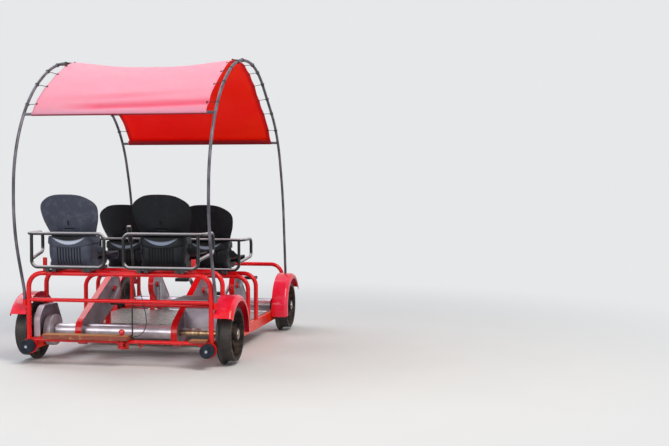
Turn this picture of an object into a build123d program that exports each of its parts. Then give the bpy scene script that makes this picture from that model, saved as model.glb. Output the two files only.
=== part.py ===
from build123d import *
import os
from math import atan2, cos, hypot, radians, sin

os.makedirs("parts", exist_ok=True)

# Four-seat pedal rail car, in millimetres. X to the right, Y to the front, Z up.
# Z = 0 is the floor under the wheel flanges, Y = 0 is half way between the axles.

# Wheels and axles
gauge = 1435
half_base = 889
tread_radius = 190
flange_depth = 25
flange_radius = tread_radius + flange_depth
flange_inner = gauge / 2 - 26.5
flange_width = 24
tread_width = 76
wheel_outer = flange_inner + flange_width + tread_width
rim_depth = 26
hub_radius = 44
spoke_count = 5
axle_height = flange_radius
shaft_radius = 17.5
shaft_gap = 0.05

# General clearances
seat_gap = 0.3

# Side beams, with the frame hoops standing on them
post_x = flange_inner - 26
beam_centre = post_x - 15
beam_width = 50
beam_top = axle_height - 30
beam_bottom = beam_top - 80
tube_radius = 17
thin_tube_radius = 13.5
hoop_bend = 100

# Rows of seats: the rear row is higher than the front one
rear_frame_y = -(half_base + flange_radius + 9)
front_frame_y = half_base + flange_radius - 3
rear_hoop_y = -(half_base - 63)
row_pitch = 1010
row_drop = 95
rear_overhang = 60
front_hoop_gap = 250
rear_tube_z = beam_top + 460
front_tube_z = rear_tube_z - row_drop
front_hoop_y = rear_frame_y + row_pitch
second_front_hoop_y = front_hoop_y + front_hoop_gap

# Heights of the cross bars between the posts
mid_bar_z = beam_top + 272
low_bar_z = beam_top - 10
post_foot_z = beam_bottom + 13
rear_cross_bar_z = beam_top + 215
centre_post_x = -10
cross_bar_start = -60

# Seats
seat_x = post_x / 2 + 1.5
rail_offset = 110
rail_width = 30
rail_height = 22

# Chain cases, one for each rider
case_x = seat_x + 21
case_width = 46
case_wall = 4
case_axle_radius = 100
case_crank_radius = 120
side_plate = 2
crank_rear = (rear_frame_y + 784, beam_top + 275)
crank_front = (front_frame_y - 440, beam_top + 215)
boss_radius = 24
boss_length = 60
spindle_radius = 10
arm_length = 160
arm_thickness = 14
pedal_width = 92
pedal_length = 90
pedal_height = 24
pedal_rail = 12
window_width = 20
window_at = 24

# Mudguards
guard_inner = post_x + tube_radius + seat_gap
guard_outer = wheel_outer + 24
guard_radius = flange_radius + 60
guard_skirt = 40
guard_wall = 3
guard_crown = 28
guard_low_end = -5
front_guard_low_end = -15
guard_high_end = 150

# Canopy frame
hoop_radius = 11
hoop_x = post_x + tube_radius + hoop_radius + 3
sleeve_bottom = axle_height + flange_radius - 18
sleeve_top = sleeve_bottom + 46
sleeve_wall = 4
canopy_top = 2205
rear_bar_at = 0.287
front_bar_at = 0.745
canopy_thickness = 12
canopy_inset = 66

# Buffers and couplings
buffer_x = post_x - 13
buffer_z = beam_bottom + 28
buffer_radius = 48
buffer_length = 60
buffer_plate = 8
buffer_plate_radius = 55
drawbar_width = 60
drawbar_thickness = 14
drawbar_z = low_bar_z - 17
drawbar_eye_radius = 13


def rod(start, end, radius):
    """Round bar from one point to another."""
    axis = Vector(*end) - Vector(*start)
    plane = Plane(origin=start, z_dir=axis)
    return extrude(plane * Circle(radius), axis.length)


def bent_tube(points, radius, bend):
    """Round bar along straight runs joined by arcs."""
    path = FilletPolyline(*points, radius=bend)
    profile = Plane(origin=path @ 0, z_dir=path % 0) * Circle(radius)
    return sweep(profile, path=path)


def block(low, high):
    """Box between two corners."""
    size = [b - a for a, b in zip(low, high)]
    return Pos(*low) * Box(*size, align=(Align.MIN, Align.MIN, Align.MIN))


def along_x(face, start, end):
    """A face drawn in local (y, z), as thick as from start to end along X."""
    plane = Plane(origin=(start, 0, 0), x_dir=(0, 1, 0), z_dir=(1, 0, 0))
    return extrude(plane * face, end - start)


def along_y(face, start, end):
    """A face drawn in local (x, z), as thick as from start to end along Y."""
    plane = Plane(origin=(0, end, 0), x_dir=(1, 0, 0), z_dir=(0, -1, 0))
    return extrude(plane * face, end - start)


def mirrored(shape):
    """The same piece on the other side of the car."""
    return mirror(shape, about=Plane.YZ)


def save(shape, name):
    """Write one node, made of one or more solids."""
    solids = shape.solids() if not isinstance(shape, (list, tuple)) else [
        solid for piece in shape for solid in piece.solids()
    ]
    node = Compound(children=list(solids)) if len(solids) > 1 else solids[0]
    node.label = name
    export_step(node, f"parts/{name}.step")


# Side beams: closed box sections between the end frames
beam_rear = rear_frame_y + tube_radius + seat_gap
beam_front = front_frame_y - tube_radius - seat_gap
beam_half = beam_width / 2
beam = block((beam_centre - beam_half, beam_rear, beam_bottom), (beam_centre + beam_half, beam_front, beam_top))
beam = fillet(beam.edges().filter_by(Axis.Y), 4)
save([beam, mirrored(beam)], "side_beams")


# Frame hoops: each is a tube bent over the whole width of the car
def hoop(y, top, foot):
    """Tube hoop in the plane of constant y, its top centred at height top."""
    path = [(-post_x, y, foot), (-post_x, y, top), (post_x, y, top), (post_x, y, foot)]
    return bent_tube(path, tube_radius, hoop_bend)


def cross_bar(y, z, radius):
    """Bar between the two posts of a hoop."""
    return rod((-post_x, y, z), (post_x, y, z), radius)


def canopy_sleeves(y):
    """Sleeves on the outside of both posts, which hold the canopy tubes."""
    outer = hoop_radius + seat_gap + sleeve_wall
    height = sleeve_top - sleeve_bottom
    ring = Cylinder(outer, height) - Cylinder(hoop_radius + seat_gap, height)
    ring = Pos(hoop_x, y, (sleeve_bottom + sleeve_top) / 2) * ring
    return ring, mirrored(ring)


def buffer_plates(y, outward):
    """Round plates outside the posts' feet, which carry the rubber buffers."""
    near = y + outward * (thin_tube_radius - 8)
    far = y + outward * (tube_radius + buffer_plate)
    plate = rod((buffer_x, near, buffer_z), (buffer_x, far, buffer_z), buffer_plate_radius)
    return plate, mirrored(plate)


def end_frame(y, top, outward):
    """End hoop with its bars, canopy sleeves and buffer plates, welded into one."""
    frame = hoop(y, top, post_foot_z)
    frame += cross_bar(y, low_bar_z, thin_tube_radius)
    for piece in (*canopy_sleeves(y), *buffer_plates(y, outward)):
        frame += piece
    return frame


upright_x = post_x - hoop_bend - 24
upright_width = 30
upright_thickness = 6
upright_top = rear_tube_z + 110

rear_frame = end_frame(rear_frame_y, rear_tube_z, -1)
rear_frame += cross_bar(rear_frame_y, mid_bar_z, thin_tube_radius)
upright = block(
    (upright_x - upright_width / 2, rear_frame_y - upright_thickness / 2, rear_tube_z + 4),
    (upright_x + upright_width / 2, rear_frame_y + upright_thickness / 2, upright_top),
)
rear_frame += upright
rear_frame += mirrored(upright)
gusset_wall = 6
gusset_reach = 112
gusset_inner = buffer_x - buffer_plate_radius - 36
gusset = make_face(
    Polyline(
        (gusset_inner, low_bar_z),
        (gusset_inner + gusset_reach, low_bar_z),
        (gusset_inner + gusset_reach, buffer_z - buffer_plate_radius / 2),
        (buffer_x - buffer_plate_radius / 2, buffer_z - buffer_plate_radius / 2),
        close=True,
    )
)
gusset = along_y(gusset, rear_frame_y - gusset_wall / 2, rear_frame_y + gusset_wall / 2)
rear_frame += gusset
rear_frame += mirrored(gusset)
hook_x = 159
hook_wall = 7
hook_width = 14
hook_line = [(-21, 4), (-8, -36), (5, -36), (22, -2)]
hook = trace(Polyline(*[(hook_x + x, low_bar_z + z) for x, z in hook_line]), hook_wall)
rear_frame += along_y(hook, rear_frame_y - hook_width / 2, rear_frame_y + hook_width / 2)
clip_x = 136
clip_y = rear_frame_y + 22
clip_low = rear_tube_z - 15
rear_frame += block((clip_x - 8, rear_frame_y + 2, clip_low), (clip_x + 8, clip_y + 8, clip_low + 18))
save(rear_frame, "rear_frame")

front_frame = end_frame(front_frame_y, front_tube_z, 1)
save(front_frame, "front_frame")

beam_seat = beam_top + seat_gap
rear_seat_hoop = hoop(rear_hoop_y, rear_tube_z, beam_seat)
rear_seat_hoop += rod(
    (cross_bar_start, rear_hoop_y, rear_cross_bar_z), (post_x, rear_hoop_y, rear_cross_bar_z), thin_tube_radius
)
rear_seat_hoop += rod(
    (centre_post_x, rear_hoop_y, rear_cross_bar_z), (centre_post_x, rear_hoop_y, rear_tube_z), thin_tube_radius
)
lever_radius = 8
lever_x = centre_post_x
lever_y = rear_hoop_y + tube_radius + lever_radius + seat_gap
lever_pivot_z = rear_cross_bar_z + 30
pivot_radius = 14
pivot_plate = 6
lever_boss_radius = 11
plate_start = lever_x + lever_radius + 2 + seat_gap
pivot_bracket = block(
    (plate_start, rear_hoop_y, lever_pivot_z - pivot_radius),
    (plate_start + pivot_plate, lever_y, lever_pivot_z + pivot_radius),
)
pivot_bracket += rod((plate_start, lever_y, lever_pivot_z), (plate_start + pivot_plate, lever_y, lever_pivot_z), pivot_radius)
pivot_bracket += block(
    (lever_x, rear_hoop_y + 4, lever_pivot_z - pivot_radius),
    (plate_start + pivot_plate, rear_hoop_y + 10, lever_pivot_z + pivot_radius),
)
rear_seat_hoop += pivot_bracket
save(rear_seat_hoop, "rear_seat_hoop")
save([hoop(y, front_tube_z, beam_seat) for y in (front_hoop_y, second_front_hoop_y)], "front_seat_hoops")

# Floor plates between the beams
floor_half = post_x - tube_radius - 3
floor_thickness = 4
floor_lip = 20
floor_spans = ((rear_frame_y + 463, rear_frame_y + 713), (front_hoop_y - 187, front_frame_y - 501))
floors = []
for start, end in floor_spans:
    plate = block((-floor_half, start, beam_seat), (floor_half, end, beam_seat + floor_thickness))
    lip_half = beam_centre - beam_half - seat_gap
    for y in (start, end - floor_thickness):
        lip = block((-lip_half, y, beam_seat - floor_lip), (lip_half, y + floor_thickness, beam_seat + 1))
        plate += lip
    floors.append(plate)
for y in (front_hoop_y, second_front_hoop_y):
    for x in (-post_x, post_x):
        floors[1] -= Pos(x, y, beam_seat) * Cylinder(tube_radius + 1, 4 * floor_thickness)
save(floors, "floor_plates")

# Axle bearings: low pillow blocks on the beams, one at each end of both axles
bearing_radius = 29
bearing_width = 22
bearing_inner = post_x - 13
bearing_foot = 42
bearing_foot_height = 9


def pillow_block(y):
    """Bearing housing with a flat foot, bored for the turning shaft."""
    centre = (0, y, axle_height)
    middle = bearing_inner + bearing_width / 2
    body = rod((bearing_inner, y, axle_height), (bearing_inner + bearing_width, y, axle_height), bearing_radius)
    foot_low = (bearing_inner, y - bearing_foot, beam_seat)
    foot_high = (bearing_inner + bearing_width, y + bearing_foot, beam_seat + bearing_foot_height)
    body += block(foot_low, foot_high)
    body -= block((bearing_inner - 1, y - 2 * bearing_foot, 0), (bearing_inner + bearing_width + 1, y + 2 * bearing_foot, beam_seat))
    body -= Pos(middle, y, axle_height) * Rot(Y=90) * Cylinder(shaft_radius + shaft_gap, 2 * bearing_width)
    return body


bearings = [pillow_block(y) for y in (-half_base, half_base)]
bearings += [mirrored(piece) for piece in bearings]
save(bearings, "axle_bearings")

# Stainless tubes round the axles, in lengths between the chain cases
rear_cover_radius = 47.5
front_cover_radius = 55
cover_wall = 3
case_inner = case_x - case_width / 2
case_outer = case_x + case_width / 2
plate_inset = 3
cover_in = case_inner + plate_inset - seat_gap
cover_out = case_outer - plate_inset + seat_gap
drum_inner = post_x - 109
cover_end = post_x - 47


def axle_cover(y, start, end, radius):
    """Open tube round an axle."""
    shape = Cylinder(radius, end - start) - Cylinder(radius - cover_wall, end - start)
    return Pos((start + end) / 2, y, axle_height) * Rot(Y=90) * shape


covers = [
    axle_cover(-half_base, -drum_inner, -cover_out, rear_cover_radius),
    axle_cover(-half_base, -cover_in, cover_in, rear_cover_radius),
    axle_cover(half_base, -cover_end, -cover_out, front_cover_radius),
    axle_cover(half_base, -cover_in, cover_in, front_cover_radius),
    axle_cover(half_base, cover_out, cover_end, front_cover_radius),
]
save(covers, "axle_covers")


# Chain cases: a red edge band round a web, with stainless side plates let in
def case_outline(crank, axle_y, inset):
    """Outline round the axle and the crank, as a face in local (y, z)."""
    axle_circle = Pos(axle_y, axle_height) * Circle(case_axle_radius - inset)
    crank_circle = Pos(*crank) * Circle(case_crank_radius - inset)
    return make_hull(axle_circle.edges() + crank_circle.edges())


shaft_hole = shaft_radius + 7
boss_gap = 0.05


def chain_case(crank, axle_y):
    """Right-hand case body: edge band, middle web and bottom bracket boss."""
    outer = case_outline(crank, axle_y, 0)
    inner = case_outline(crank, axle_y, case_wall)
    shape = along_x(outer, case_inner, case_outer) - along_x(inner, case_inner, case_outer)
    shape += along_x(case_outline(crank, axle_y, case_wall / 2), case_x - 2, case_x + 2)
    boss_low = case_x - boss_length / 2
    boss_high = case_x + boss_length / 2
    shape += rod((boss_low, *crank), (boss_high, *crank), boss_radius)
    shape -= rod((boss_low - 1, *crank), (boss_high + 1, *crank), spindle_radius + boss_gap)
    shape -= rod((case_inner - 1, axle_y, axle_height), (case_outer + 1, axle_y, axle_height), shaft_hole)
    return shape


def case_plates(crank, axle_y):
    """Right-hand side plates, let into the band on both sides of the web."""
    plates = []
    for low in (case_inner + plate_inset, case_outer - plate_inset - side_plate):
        plate = along_x(case_outline(crank, axle_y, case_wall + seat_gap), low, low + side_plate)
        plate -= rod((low - 1, *crank), (low + side_plate + 1, *crank), boss_radius + seat_gap)
        plate -= rod((low - 1, axle_y, axle_height), (low + side_plate + 1, axle_y, axle_height), shaft_hole)
        plates.append(plate)
    return plates


plates = []
for row, crank, axle_y in (("rear", crank_rear, -half_base), ("front", crank_front, half_base)):
    body = chain_case(crank, axle_y)
    save(body, f"chain_case_{row}_right")
    save(mirrored(body), f"chain_case_{row}_left")
    right = case_plates(crank, axle_y)
    plates += right + [mirrored(piece) for piece in right]
save(plates, "chain_case_plates")

# Stands under the chain cases, cut to the curve of the band
stand_half = 18
stand_depth = 26
stands = []
for crank, axle_y, stand_y in ((crank_rear, -half_base, crank_rear[0] - 101), (crank_front, half_base, crank_front[0] - 93)):
    top = crank[1] - case_crank_radius / 2
    stand_low = (case_x - stand_half, stand_y, beam_seat + floor_thickness + seat_gap)
    stand = block(stand_low, (case_x + stand_half, stand_y + stand_depth, top))
    stand -= along_x(case_outline(crank, axle_y, -seat_gap), case_x - 2 * stand_half, case_x + 2 * stand_half)
    stands += [stand, mirrored(stand)]
save(stands, "case_stands")


# Cranks and pedals: two arms on a spindle through each case
def crank_set(crank, lead):
    """Right-hand spindle with both arms; lead is the outer arm's angle."""
    y, z = crank
    arm_in = case_x - boss_length / 2 - 6
    arm_out = case_x + boss_length / 2 + 6
    shape = rod((arm_in - arm_thickness, y, z), (arm_out + arm_thickness, y, z), spindle_radius)
    pedals = []
    for low, angle, outward in ((arm_out, lead, 1), (arm_in - arm_thickness, lead + 180, -1)):
        end_y = y + arm_length * cos(radians(angle))
        end_z = z + arm_length * sin(radians(angle))
        hub = Pos(y, z) * Circle(20)
        eye = Pos(end_y, end_z) * Circle(13)
        shape += along_x(make_hull(hub.edges() + eye.edges()), low, low + arm_thickness)
        near = low + arm_thickness if outward > 0 else low
        far = near + outward * (pedal_width + 8)
        shape += rod((low + arm_thickness / 2, end_y, end_z), (far, end_y, end_z), 5)
        start = near + outward * 5
        low_x = min(start, start + outward * pedal_width)
        tread = Pos(low_x + pedal_width / 2, end_y, end_z) * Box(pedal_width, pedal_length, pedal_height)
        tread = fillet(tread.edges().filter_by(Axis.X), 5)
        for side in (-1, 1):
            window = Box(pedal_width - 2 * pedal_rail, window_width, 2 * pedal_height)
            tread -= Pos(low_x + pedal_width / 2, end_y + side * window_at, end_z) * window
        tread -= rod((low_x - 1, end_y, end_z), (low_x + pedal_width + 1, end_y, end_z), 5 + seat_gap)
        pedals.append(tread)
    return shape, pedals


for row, crank, lead in (("rear", crank_rear, -35), ("front", crank_front, 20)):
    shape, pedals = crank_set(crank, lead)
    save(shape, f"crank_{row}_right")
    save(pedals, f"pedals_{row}_right")
    shape, pedals = crank_set(crank, lead + 70)
    save(mirrored(shape), f"crank_{row}_left")
    save([mirrored(piece) for piece in pedals], f"pedals_{row}_left")


# Wheels: flanged rim, hub and tapered spokes, pressed on the axle
def rail_wheel(axle_y):
    """Right-hand wheel on the axle at axle_y."""
    tread_start = flange_inner + flange_width
    rim_inner = tread_radius - rim_depth
    rim_profile = [
        (flange_inner, rim_inner),
        (wheel_outer, rim_inner),
        (wheel_outer, tread_radius - 2),
        (tread_start + 8, tread_radius),
        (tread_start, tread_radius + 6),
        (tread_start - 9, flange_radius),
        (flange_inner + 4, flange_radius),
        (flange_inner, flange_radius - 6),
    ]
    web_start = flange_inner + 30
    web_end = web_start + 26
    hub_start = flange_inner + 10
    hub_end = wheel_outer + 4
    rim = revolve(Plane.XZ * make_face(Polyline(*rim_profile, close=True)), Axis.X, 360)
    shape = rim + rod((hub_start, 0, 0), (hub_end, 0, 0), hub_radius)
    spoke = make_face(Polyline((-19, 20), (19, 20), (13, rim_inner + 5), (-13, rim_inner + 5), close=True))
    spoke = along_x(spoke, web_start, web_end)
    for turn in range(spoke_count):
        shape += Rot(X=turn * 360 / spoke_count) * spoke
    shape -= rod((hub_start - 1, 0, 0), (hub_end + 1, 0, 0), shaft_radius)
    return Pos(0, axle_y, axle_height) * shape


for row, axle_y in (("rear", -half_base), ("front", half_base)):
    wheel = rail_wheel(axle_y)
    save([wheel, mirrored(wheel)], f"wheels_{row}")
    reach = wheel_outer + 10
    save(rod((-reach, axle_y, axle_height), (reach, axle_y, axle_height), shaft_radius), f"axle_{row}")

# Brake drum on the left of the rear axle
drum_radius = 112
drum_outer = drum_inner + 56
drum = rod((-drum_outer, -half_base, axle_height), (-drum_inner - 6, -half_base, axle_height), drum_radius)
drum -= rod((-drum_outer - 1, -half_base, axle_height), (-drum_outer + 30, -half_base, axle_height), drum_radius - 8)
drum += rod((-drum_outer - 6, -half_base, axle_height), (-drum_inner - 6, -half_base, axle_height), 34)
drum -= rod((-drum_outer - 8, -half_base, axle_height), (-drum_inner, -half_base, axle_height), shaft_radius)
save(drum, "brake_drum")

# Stainless guard between the brake drum and the left wheel
guard_plate_x = post_x - 21
guard_plate_wall = 3
guard_band = 46
guard_points = [
    (rear_frame_y + 30, beam_seat),
    (rear_frame_y + 30, beam_top + 145),
    (rear_frame_y + 110, beam_top + 220),
    (-half_base + 99, beam_top + 215),
    (-half_base + 186, beam_top + 73),
    (-half_base + 186, beam_seat),
]
guard_face = make_face(FilletPolyline(*guard_points, radius=(60, 60, 20, 8), close=False) + Line(guard_points[-1], guard_points[0]))
guard_inside = offset(guard_face, -guard_plate_wall, kind=Kind.INTERSECTION)
guard_rim = guard_face - guard_inside - Pos(-half_base, beam_seat) * Rectangle(4 * flange_radius, 4 * guard_plate_wall)
brake_guard = along_x(guard_face, -guard_plate_x, -guard_plate_x + guard_plate_wall)
brake_guard += along_x(guard_rim, -guard_plate_x, -guard_plate_x + guard_band)
brake_guard -= rod((-guard_plate_x - 9, -half_base, axle_height), (-guard_plate_x + 9, -half_base, axle_height), shaft_hole)
save(brake_guard, "brake_guard")


# Mudguards: rounded sheet bent round each wheel, with an outer skirt
def mudguard(start, end, axle_y):
    """Right-hand mudguard between two angles from the front, in degrees."""
    outline = [
        (guard_inner, guard_radius),
        (guard_outer - guard_wall / 2, guard_radius),
        (guard_outer - guard_wall / 2, guard_radius - guard_skirt),
    ]
    profile = trace(FilletPolyline(*outline, radius=guard_crown), guard_wall)
    direction = radians(start)
    plane = Plane(origin=(0, 0, 0), x_dir=(1, 0, 0), z_dir=(0, -sin(direction), cos(direction)))
    shape = revolve(plane * profile, Axis.X, end - start)
    return Pos(0, axle_y, axle_height) * shape


rear_guard = mudguard(guard_low_end, guard_high_end, -half_base)
front_guard = mudguard(180 - guard_high_end, 180 - front_guard_low_end, half_base)
for row, shape in (("rear", rear_guard), ("front", front_guard)):
    save(shape, f"mudguard_{row}_right")
    save(mirrored(shape), f"mudguard_{row}_left")

# Seat rails on the tops of the hoops
rail_z = rear_tube_z + tube_radius + seat_gap
rails = []
for low_y, high_y, drop in (
    (rear_frame_y - rear_overhang, rear_hoop_y, 0),
    (front_hoop_y, second_front_hoop_y, row_drop),
):
    for side in (-1, 1):
        for offset in (-rail_offset, rail_offset):
            x = side * seat_x + offset
            start = (x - rail_width / 2, low_y - 13, rail_z - drop)
            end = (x + rail_width / 2, high_y + 40, rail_z - drop + rail_height)
            rails.append(block(start, end))
save(rails, "seat_rails")

# Seats: a dished pan on a ribbed base with a hand-hold, and a curved back
seat_bottom = rail_z + rail_height + seat_gap
seat_height = 514
base_rear = rear_frame_y - 11
base_half = 166
base_depth = 90
base_foot = 14
base_height = 220
base_corner = 34
pan_start = base_rear + 35
pan_rear_half = 160
pan_half = 215
pan_flare = 120
pan_depth = 395
pan_height = 88
pan_corner = 45
pan_edge = 14
dish_half = 180
dish_depth = 40
groove_count = 9
groove_pitch = 15
groove_width = 6
groove_depth = 5
lip_low = 160
lip_half = 158
lip_out = 9
pocket_low = 197
pocket_half = 122
pocket_depth = 18
back_wall = 12
back_curve = 450
back_half = 215
back_foot = 180
back_set = 37
back_lean = 0.35
crown_radius = 200
shoulder_radius = 100
shoulder_x = 109
shoulder_drop = 124
foot_radius = 20
foot_x = 150
slot_half = 5
slot_low = 298
slot_high = 330
mark_half = 38
mark_low = 271
mark_high = 277


def sagging_circle(half, rise, low):
    """Circle with its lowest point at low, through two points half aside and rise above it."""
    radius = (half**2 + rise**2) / (2 * rise)
    return Pos(0, low + radius) * Circle(radius)


def seat_pan():
    """Pan that widens in front of the base, dished along its middle and open in front."""
    front = pan_start + pan_depth
    outline = make_face(
        Polyline(
            (-pan_rear_half, pan_start),
            (pan_rear_half, pan_start),
            (pan_half, pan_start + pan_flare),
            (pan_half, front),
            (-pan_half, front),
            (-pan_half, pan_start + pan_flare),
            close=True,
        )
    )
    outline = fillet(outline.vertices(), pan_corner)
    pan = Pos(0, 0, seat_bottom) * extrude(outline, pan_height)
    pan = fillet(pan.edges().group_by(Axis.Z)[-1], pan_edge)
    radius = (dish_half**2 + dish_depth**2) / (2 * dish_depth)
    dish_z = seat_bottom + pan_height - dish_depth + radius
    return pan - rod((0, base_rear + base_depth, dish_z), (0, front + radius, dish_z), radius)


def seat_base():
    """Upright base with vertical grooves under a crescent lip, and a hand pocket above it."""
    top = seat_bottom + base_height
    base = block((-base_half, base_rear, seat_bottom + base_foot), (base_half, base_rear + base_depth, top))
    base = fillet(base.edges().filter_by(Axis.Z), base_corner)
    lower = sagging_circle(lip_half, base_height - lip_low, seat_bottom + lip_low)
    upper = sagging_circle(pocket_half, base_height - pocket_low, seat_bottom + pocket_low)
    strip = Pos(0, top - base_height / 2) * Rectangle(2 * base_half, base_height)
    for step in range(groove_count):
        x = (step - (groove_count - 1) / 2) * groove_pitch
        low = (x - groove_width / 2, base_rear - 1, seat_bottom + 2 * base_foot)
        base -= block(low, (x + groove_width / 2, base_rear + groove_depth, seat_bottom + pocket_low - 1))
    base += along_y((lower - upper) & strip, base_rear - lip_out, base_rear + base_corner)
    return base - along_y(upper & strip, base_rear - 2 * lip_out, base_rear + pocket_depth)


def seat_back():
    """Leaning back, curved round the rider, with a domed outline and two slots."""
    foot = seat_bottom + back_foot
    top = seat_bottom + seat_height
    arc = Circle(back_curve) - Circle(back_curve - back_wall)
    arc &= Pos(0, -back_curve) * Rectangle(2 * back_half, back_half)
    arc = Pos(0, base_rear + back_set + back_curve, foot) * arc
    rise = top - foot
    slope = Vector(0, -back_lean * rise, rise)
    back = extrude(arc, slope.length, dir=slope.normalized())
    dome = (Pos(0, top - crown_radius) * Circle(crown_radius)).edges()
    for side in (-1, 1):
        dome += (Pos(side * shoulder_x, top - shoulder_drop) * Circle(shoulder_radius)).edges()
        dome += (Pos(side * foot_x, foot + foot_radius) * Circle(foot_radius)).edges()
    back &= along_y(make_hull(dome), base_rear - back_half, base_rear + back_half)
    for half, low, high in ((slot_half, slot_low, slot_high), (mark_half, mark_low, mark_high)):
        low_corner = (-half, base_rear - back_half, seat_bottom + low)
        back -= block(low_corner, (half, base_rear + back_half, seat_bottom + high))
    return back


right_hand_seat = Pos(seat_x, 0, 0) * (seat_pan() + seat_base() + seat_back())

# Armrests: a tube loop behind each seat that runs on as an arm
loop_radius = 12
loop_y = rear_frame_y - 26
loop_low = rear_tube_z + 50
loop_high = rear_tube_z + 283
loop_in = seat_x - 264
loop_out = post_x - 65
loop_bend = 45
arm_x = post_x - 32
arm_reach = 250
arm_drop = 140
brace_rise = 57
brace_bend = 35
post_start = 90
lug_half = 15
lug_offset = 152
lug_foot = 12


def armrest(overhang):
    """Right-hand back loop with its outer arm, brace and feet; overhang is its place behind the hoop."""
    plane_y = loop_y - overhang
    arm_y = plane_y + arm_reach
    path = [
        (loop_out, plane_y, loop_low + post_start),
        (loop_out, plane_y, loop_low),
        (loop_in, plane_y, loop_low),
        (loop_in, plane_y, loop_high),
        (arm_x, plane_y, loop_high),
        (arm_x, arm_y, loop_high),
        (arm_x, arm_y, loop_high - arm_drop),
        (loop_out, plane_y + 5, loop_low + brace_rise),
    ]
    shape = bent_tube(path, loop_radius, (*[loop_bend] * 5, brace_bend))
    shape += rod((loop_out, plane_y, loop_low + post_start - 10), (loop_out, plane_y, loop_high), loop_radius - 0.5)
    for x in (seat_x - lug_offset, seat_x + lug_offset):
        low = (x - lug_half, plane_y - 8, rail_z)
        shape += block(low, (x + lug_half, plane_y + 8, loop_low))
        shape += block(low, (x + lug_half, rear_frame_y + 8, rail_z + lug_foot))
    return shape


for row, shift_y, drop, overhang in (("rear", 0, 0, rear_overhang), ("front", row_pitch, row_drop, 0)):
    right_seat = Pos(0, shift_y - overhang, -drop) * right_hand_seat
    right_arm = Pos(0, shift_y, -drop) * armrest(overhang)
    save(right_seat, f"seat_{row}_right")
    save(mirrored(right_seat), f"seat_{row}_left")
    save(right_arm, f"armrest_{row}_right")
    save(mirrored(right_arm), f"armrest_{row}_left")

# Canopy frame: two bent side tubes and the bars that carry the cloth
hoop_outline = [
    (rear_frame_y, sleeve_bottom),
    (rear_frame_y, sleeve_top + 50),
    (rear_frame_y - 162, sleeve_top + 502),
    (rear_frame_y - 147, canopy_top - 720),
    (rear_frame_y + 103, canopy_top - 295),
    (rear_frame_y + 553, canopy_top - 20),
    (front_frame_y - 1051, canopy_top),
    (front_frame_y - 411, canopy_top - 435),
    (front_frame_y - 246, canopy_top - 650),
    (front_frame_y - 96, canopy_top - 1055),
    (front_frame_y, sleeve_top + 30),
    (front_frame_y, sleeve_bottom),
]
bend_share = 0.48


def corner_radii(points):
    """Largest tangent arcs for each corner of a polyline."""
    radii = []
    for a, b, c in zip(points, points[1:], points[2:]):
        run_in = hypot(b[0] - a[0], b[1] - a[1])
        run_out = hypot(c[0] - b[0], c[1] - b[1])
        turn = atan2(c[1] - b[1], c[0] - b[0]) - atan2(b[1] - a[1], b[0] - a[0])
        turn = abs((turn + radians(180)) % radians(360) - radians(180))
        radii.append(bend_share * min(run_in, run_out) * cos(turn / 2) / sin(turn / 2))
    return radii


side_path = FilletPolyline(*[(hoop_x, y, z) for y, z in hoop_outline], radius=corner_radii(hoop_outline))
side_tube = sweep(Plane(origin=side_path @ 0, z_dir=side_path % 0) * Circle(hoop_radius), path=side_path)
canopy_frame = side_tube + mirrored(side_tube)
for share in (rear_bar_at, front_bar_at):
    centre = side_path @ share
    canopy_frame += rod((-hoop_x, centre.Y, centre.Z), (hoop_x, centre.Y, centre.Z), hoop_radius - 0.5)
save(canopy_frame, "canopy_frame")

# Canopy: cloth between the two bars, between the side tubes
canopy_half = hoop_x - canopy_inset
bar_margin = (hoop_radius + seat_gap) / side_path.length
cloth_path = side_path.trim(rear_bar_at + bar_margin, front_bar_at - bar_margin)
flat_path = Plane(origin=(hoop_x, 0, 0), x_dir=(0, 1, 0), z_dir=(1, 0, 0)).to_local_coords(cloth_path)
cloth = trace(flat_path, canopy_thickness)
save(Pos(-canopy_half, 0, 0) * along_x(cloth, 0, 2 * canopy_half), "canopy")

# Rubber buffers on the plates of both end frames
buffers = []
for y, outward in ((rear_frame_y, -1), (front_frame_y, 1)):
    start = y + outward * (tube_radius + buffer_plate + seat_gap)
    rubber = rod((buffer_x, start, buffer_z), (buffer_x, start + outward * buffer_length, buffer_z), buffer_radius)
    rubber = fillet(rubber.edges().filter_by(GeomType.CIRCLE), 6)
    buffers += [rubber, mirrored(rubber)]
save(buffers, "buffers")

# Front drawbar with an eye for the coupling pin of the car ahead
drawbar_tip = -side_tube.bounding_box().min.Y
eye_y = drawbar_tip - drawbar_width / 2
bar_back = front_frame_y + thin_tube_radius + seat_gap
half_thick = drawbar_thickness / 2
drawbar = block((-drawbar_width / 2, bar_back, drawbar_z - half_thick), (drawbar_width / 2, eye_y, drawbar_z + half_thick))
drawbar += Pos(0, eye_y, drawbar_z) * Cylinder(drawbar_width / 2, drawbar_thickness)
drawbar += block((-60, bar_back, drawbar_z - 40), (60, bar_back + 10, drawbar_z + 40))
drawbar -= Pos(0, eye_y, drawbar_z) * Cylinder(drawbar_eye_radius, 3 * drawbar_thickness)
save(drawbar, "front_drawbar")

# Boards on the rear low bar; the long one has a hole for the coupling pin
coupling_x = 38
pin_radius = 10
jaw_y = rear_frame_y - 46
plank_start = -(post_x - 129)
plank_end = 84
plank_depth = 80
plank_thickness = 34
plank_front = rear_frame_y + 8
plank_z = low_bar_z + thin_tube_radius + seat_gap
plank = block((plank_start, plank_front - plank_depth, plank_z), (plank_end, plank_front, plank_z + plank_thickness))
plank -= Pos(coupling_x, jaw_y, plank_z) * Cylinder(pin_radius + 2, 4 * plank_thickness)
plank = fillet(plank.edges().filter_by(Axis.X), 3)
board_start = post_x - 140
board_end = post_x - tube_radius - 3
board_thickness = 16
board = block((board_start, plank_front - plank_depth, plank_z), (board_end, plank_front, plank_z + board_thickness))
save([plank, board], "rear_plank")

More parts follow.
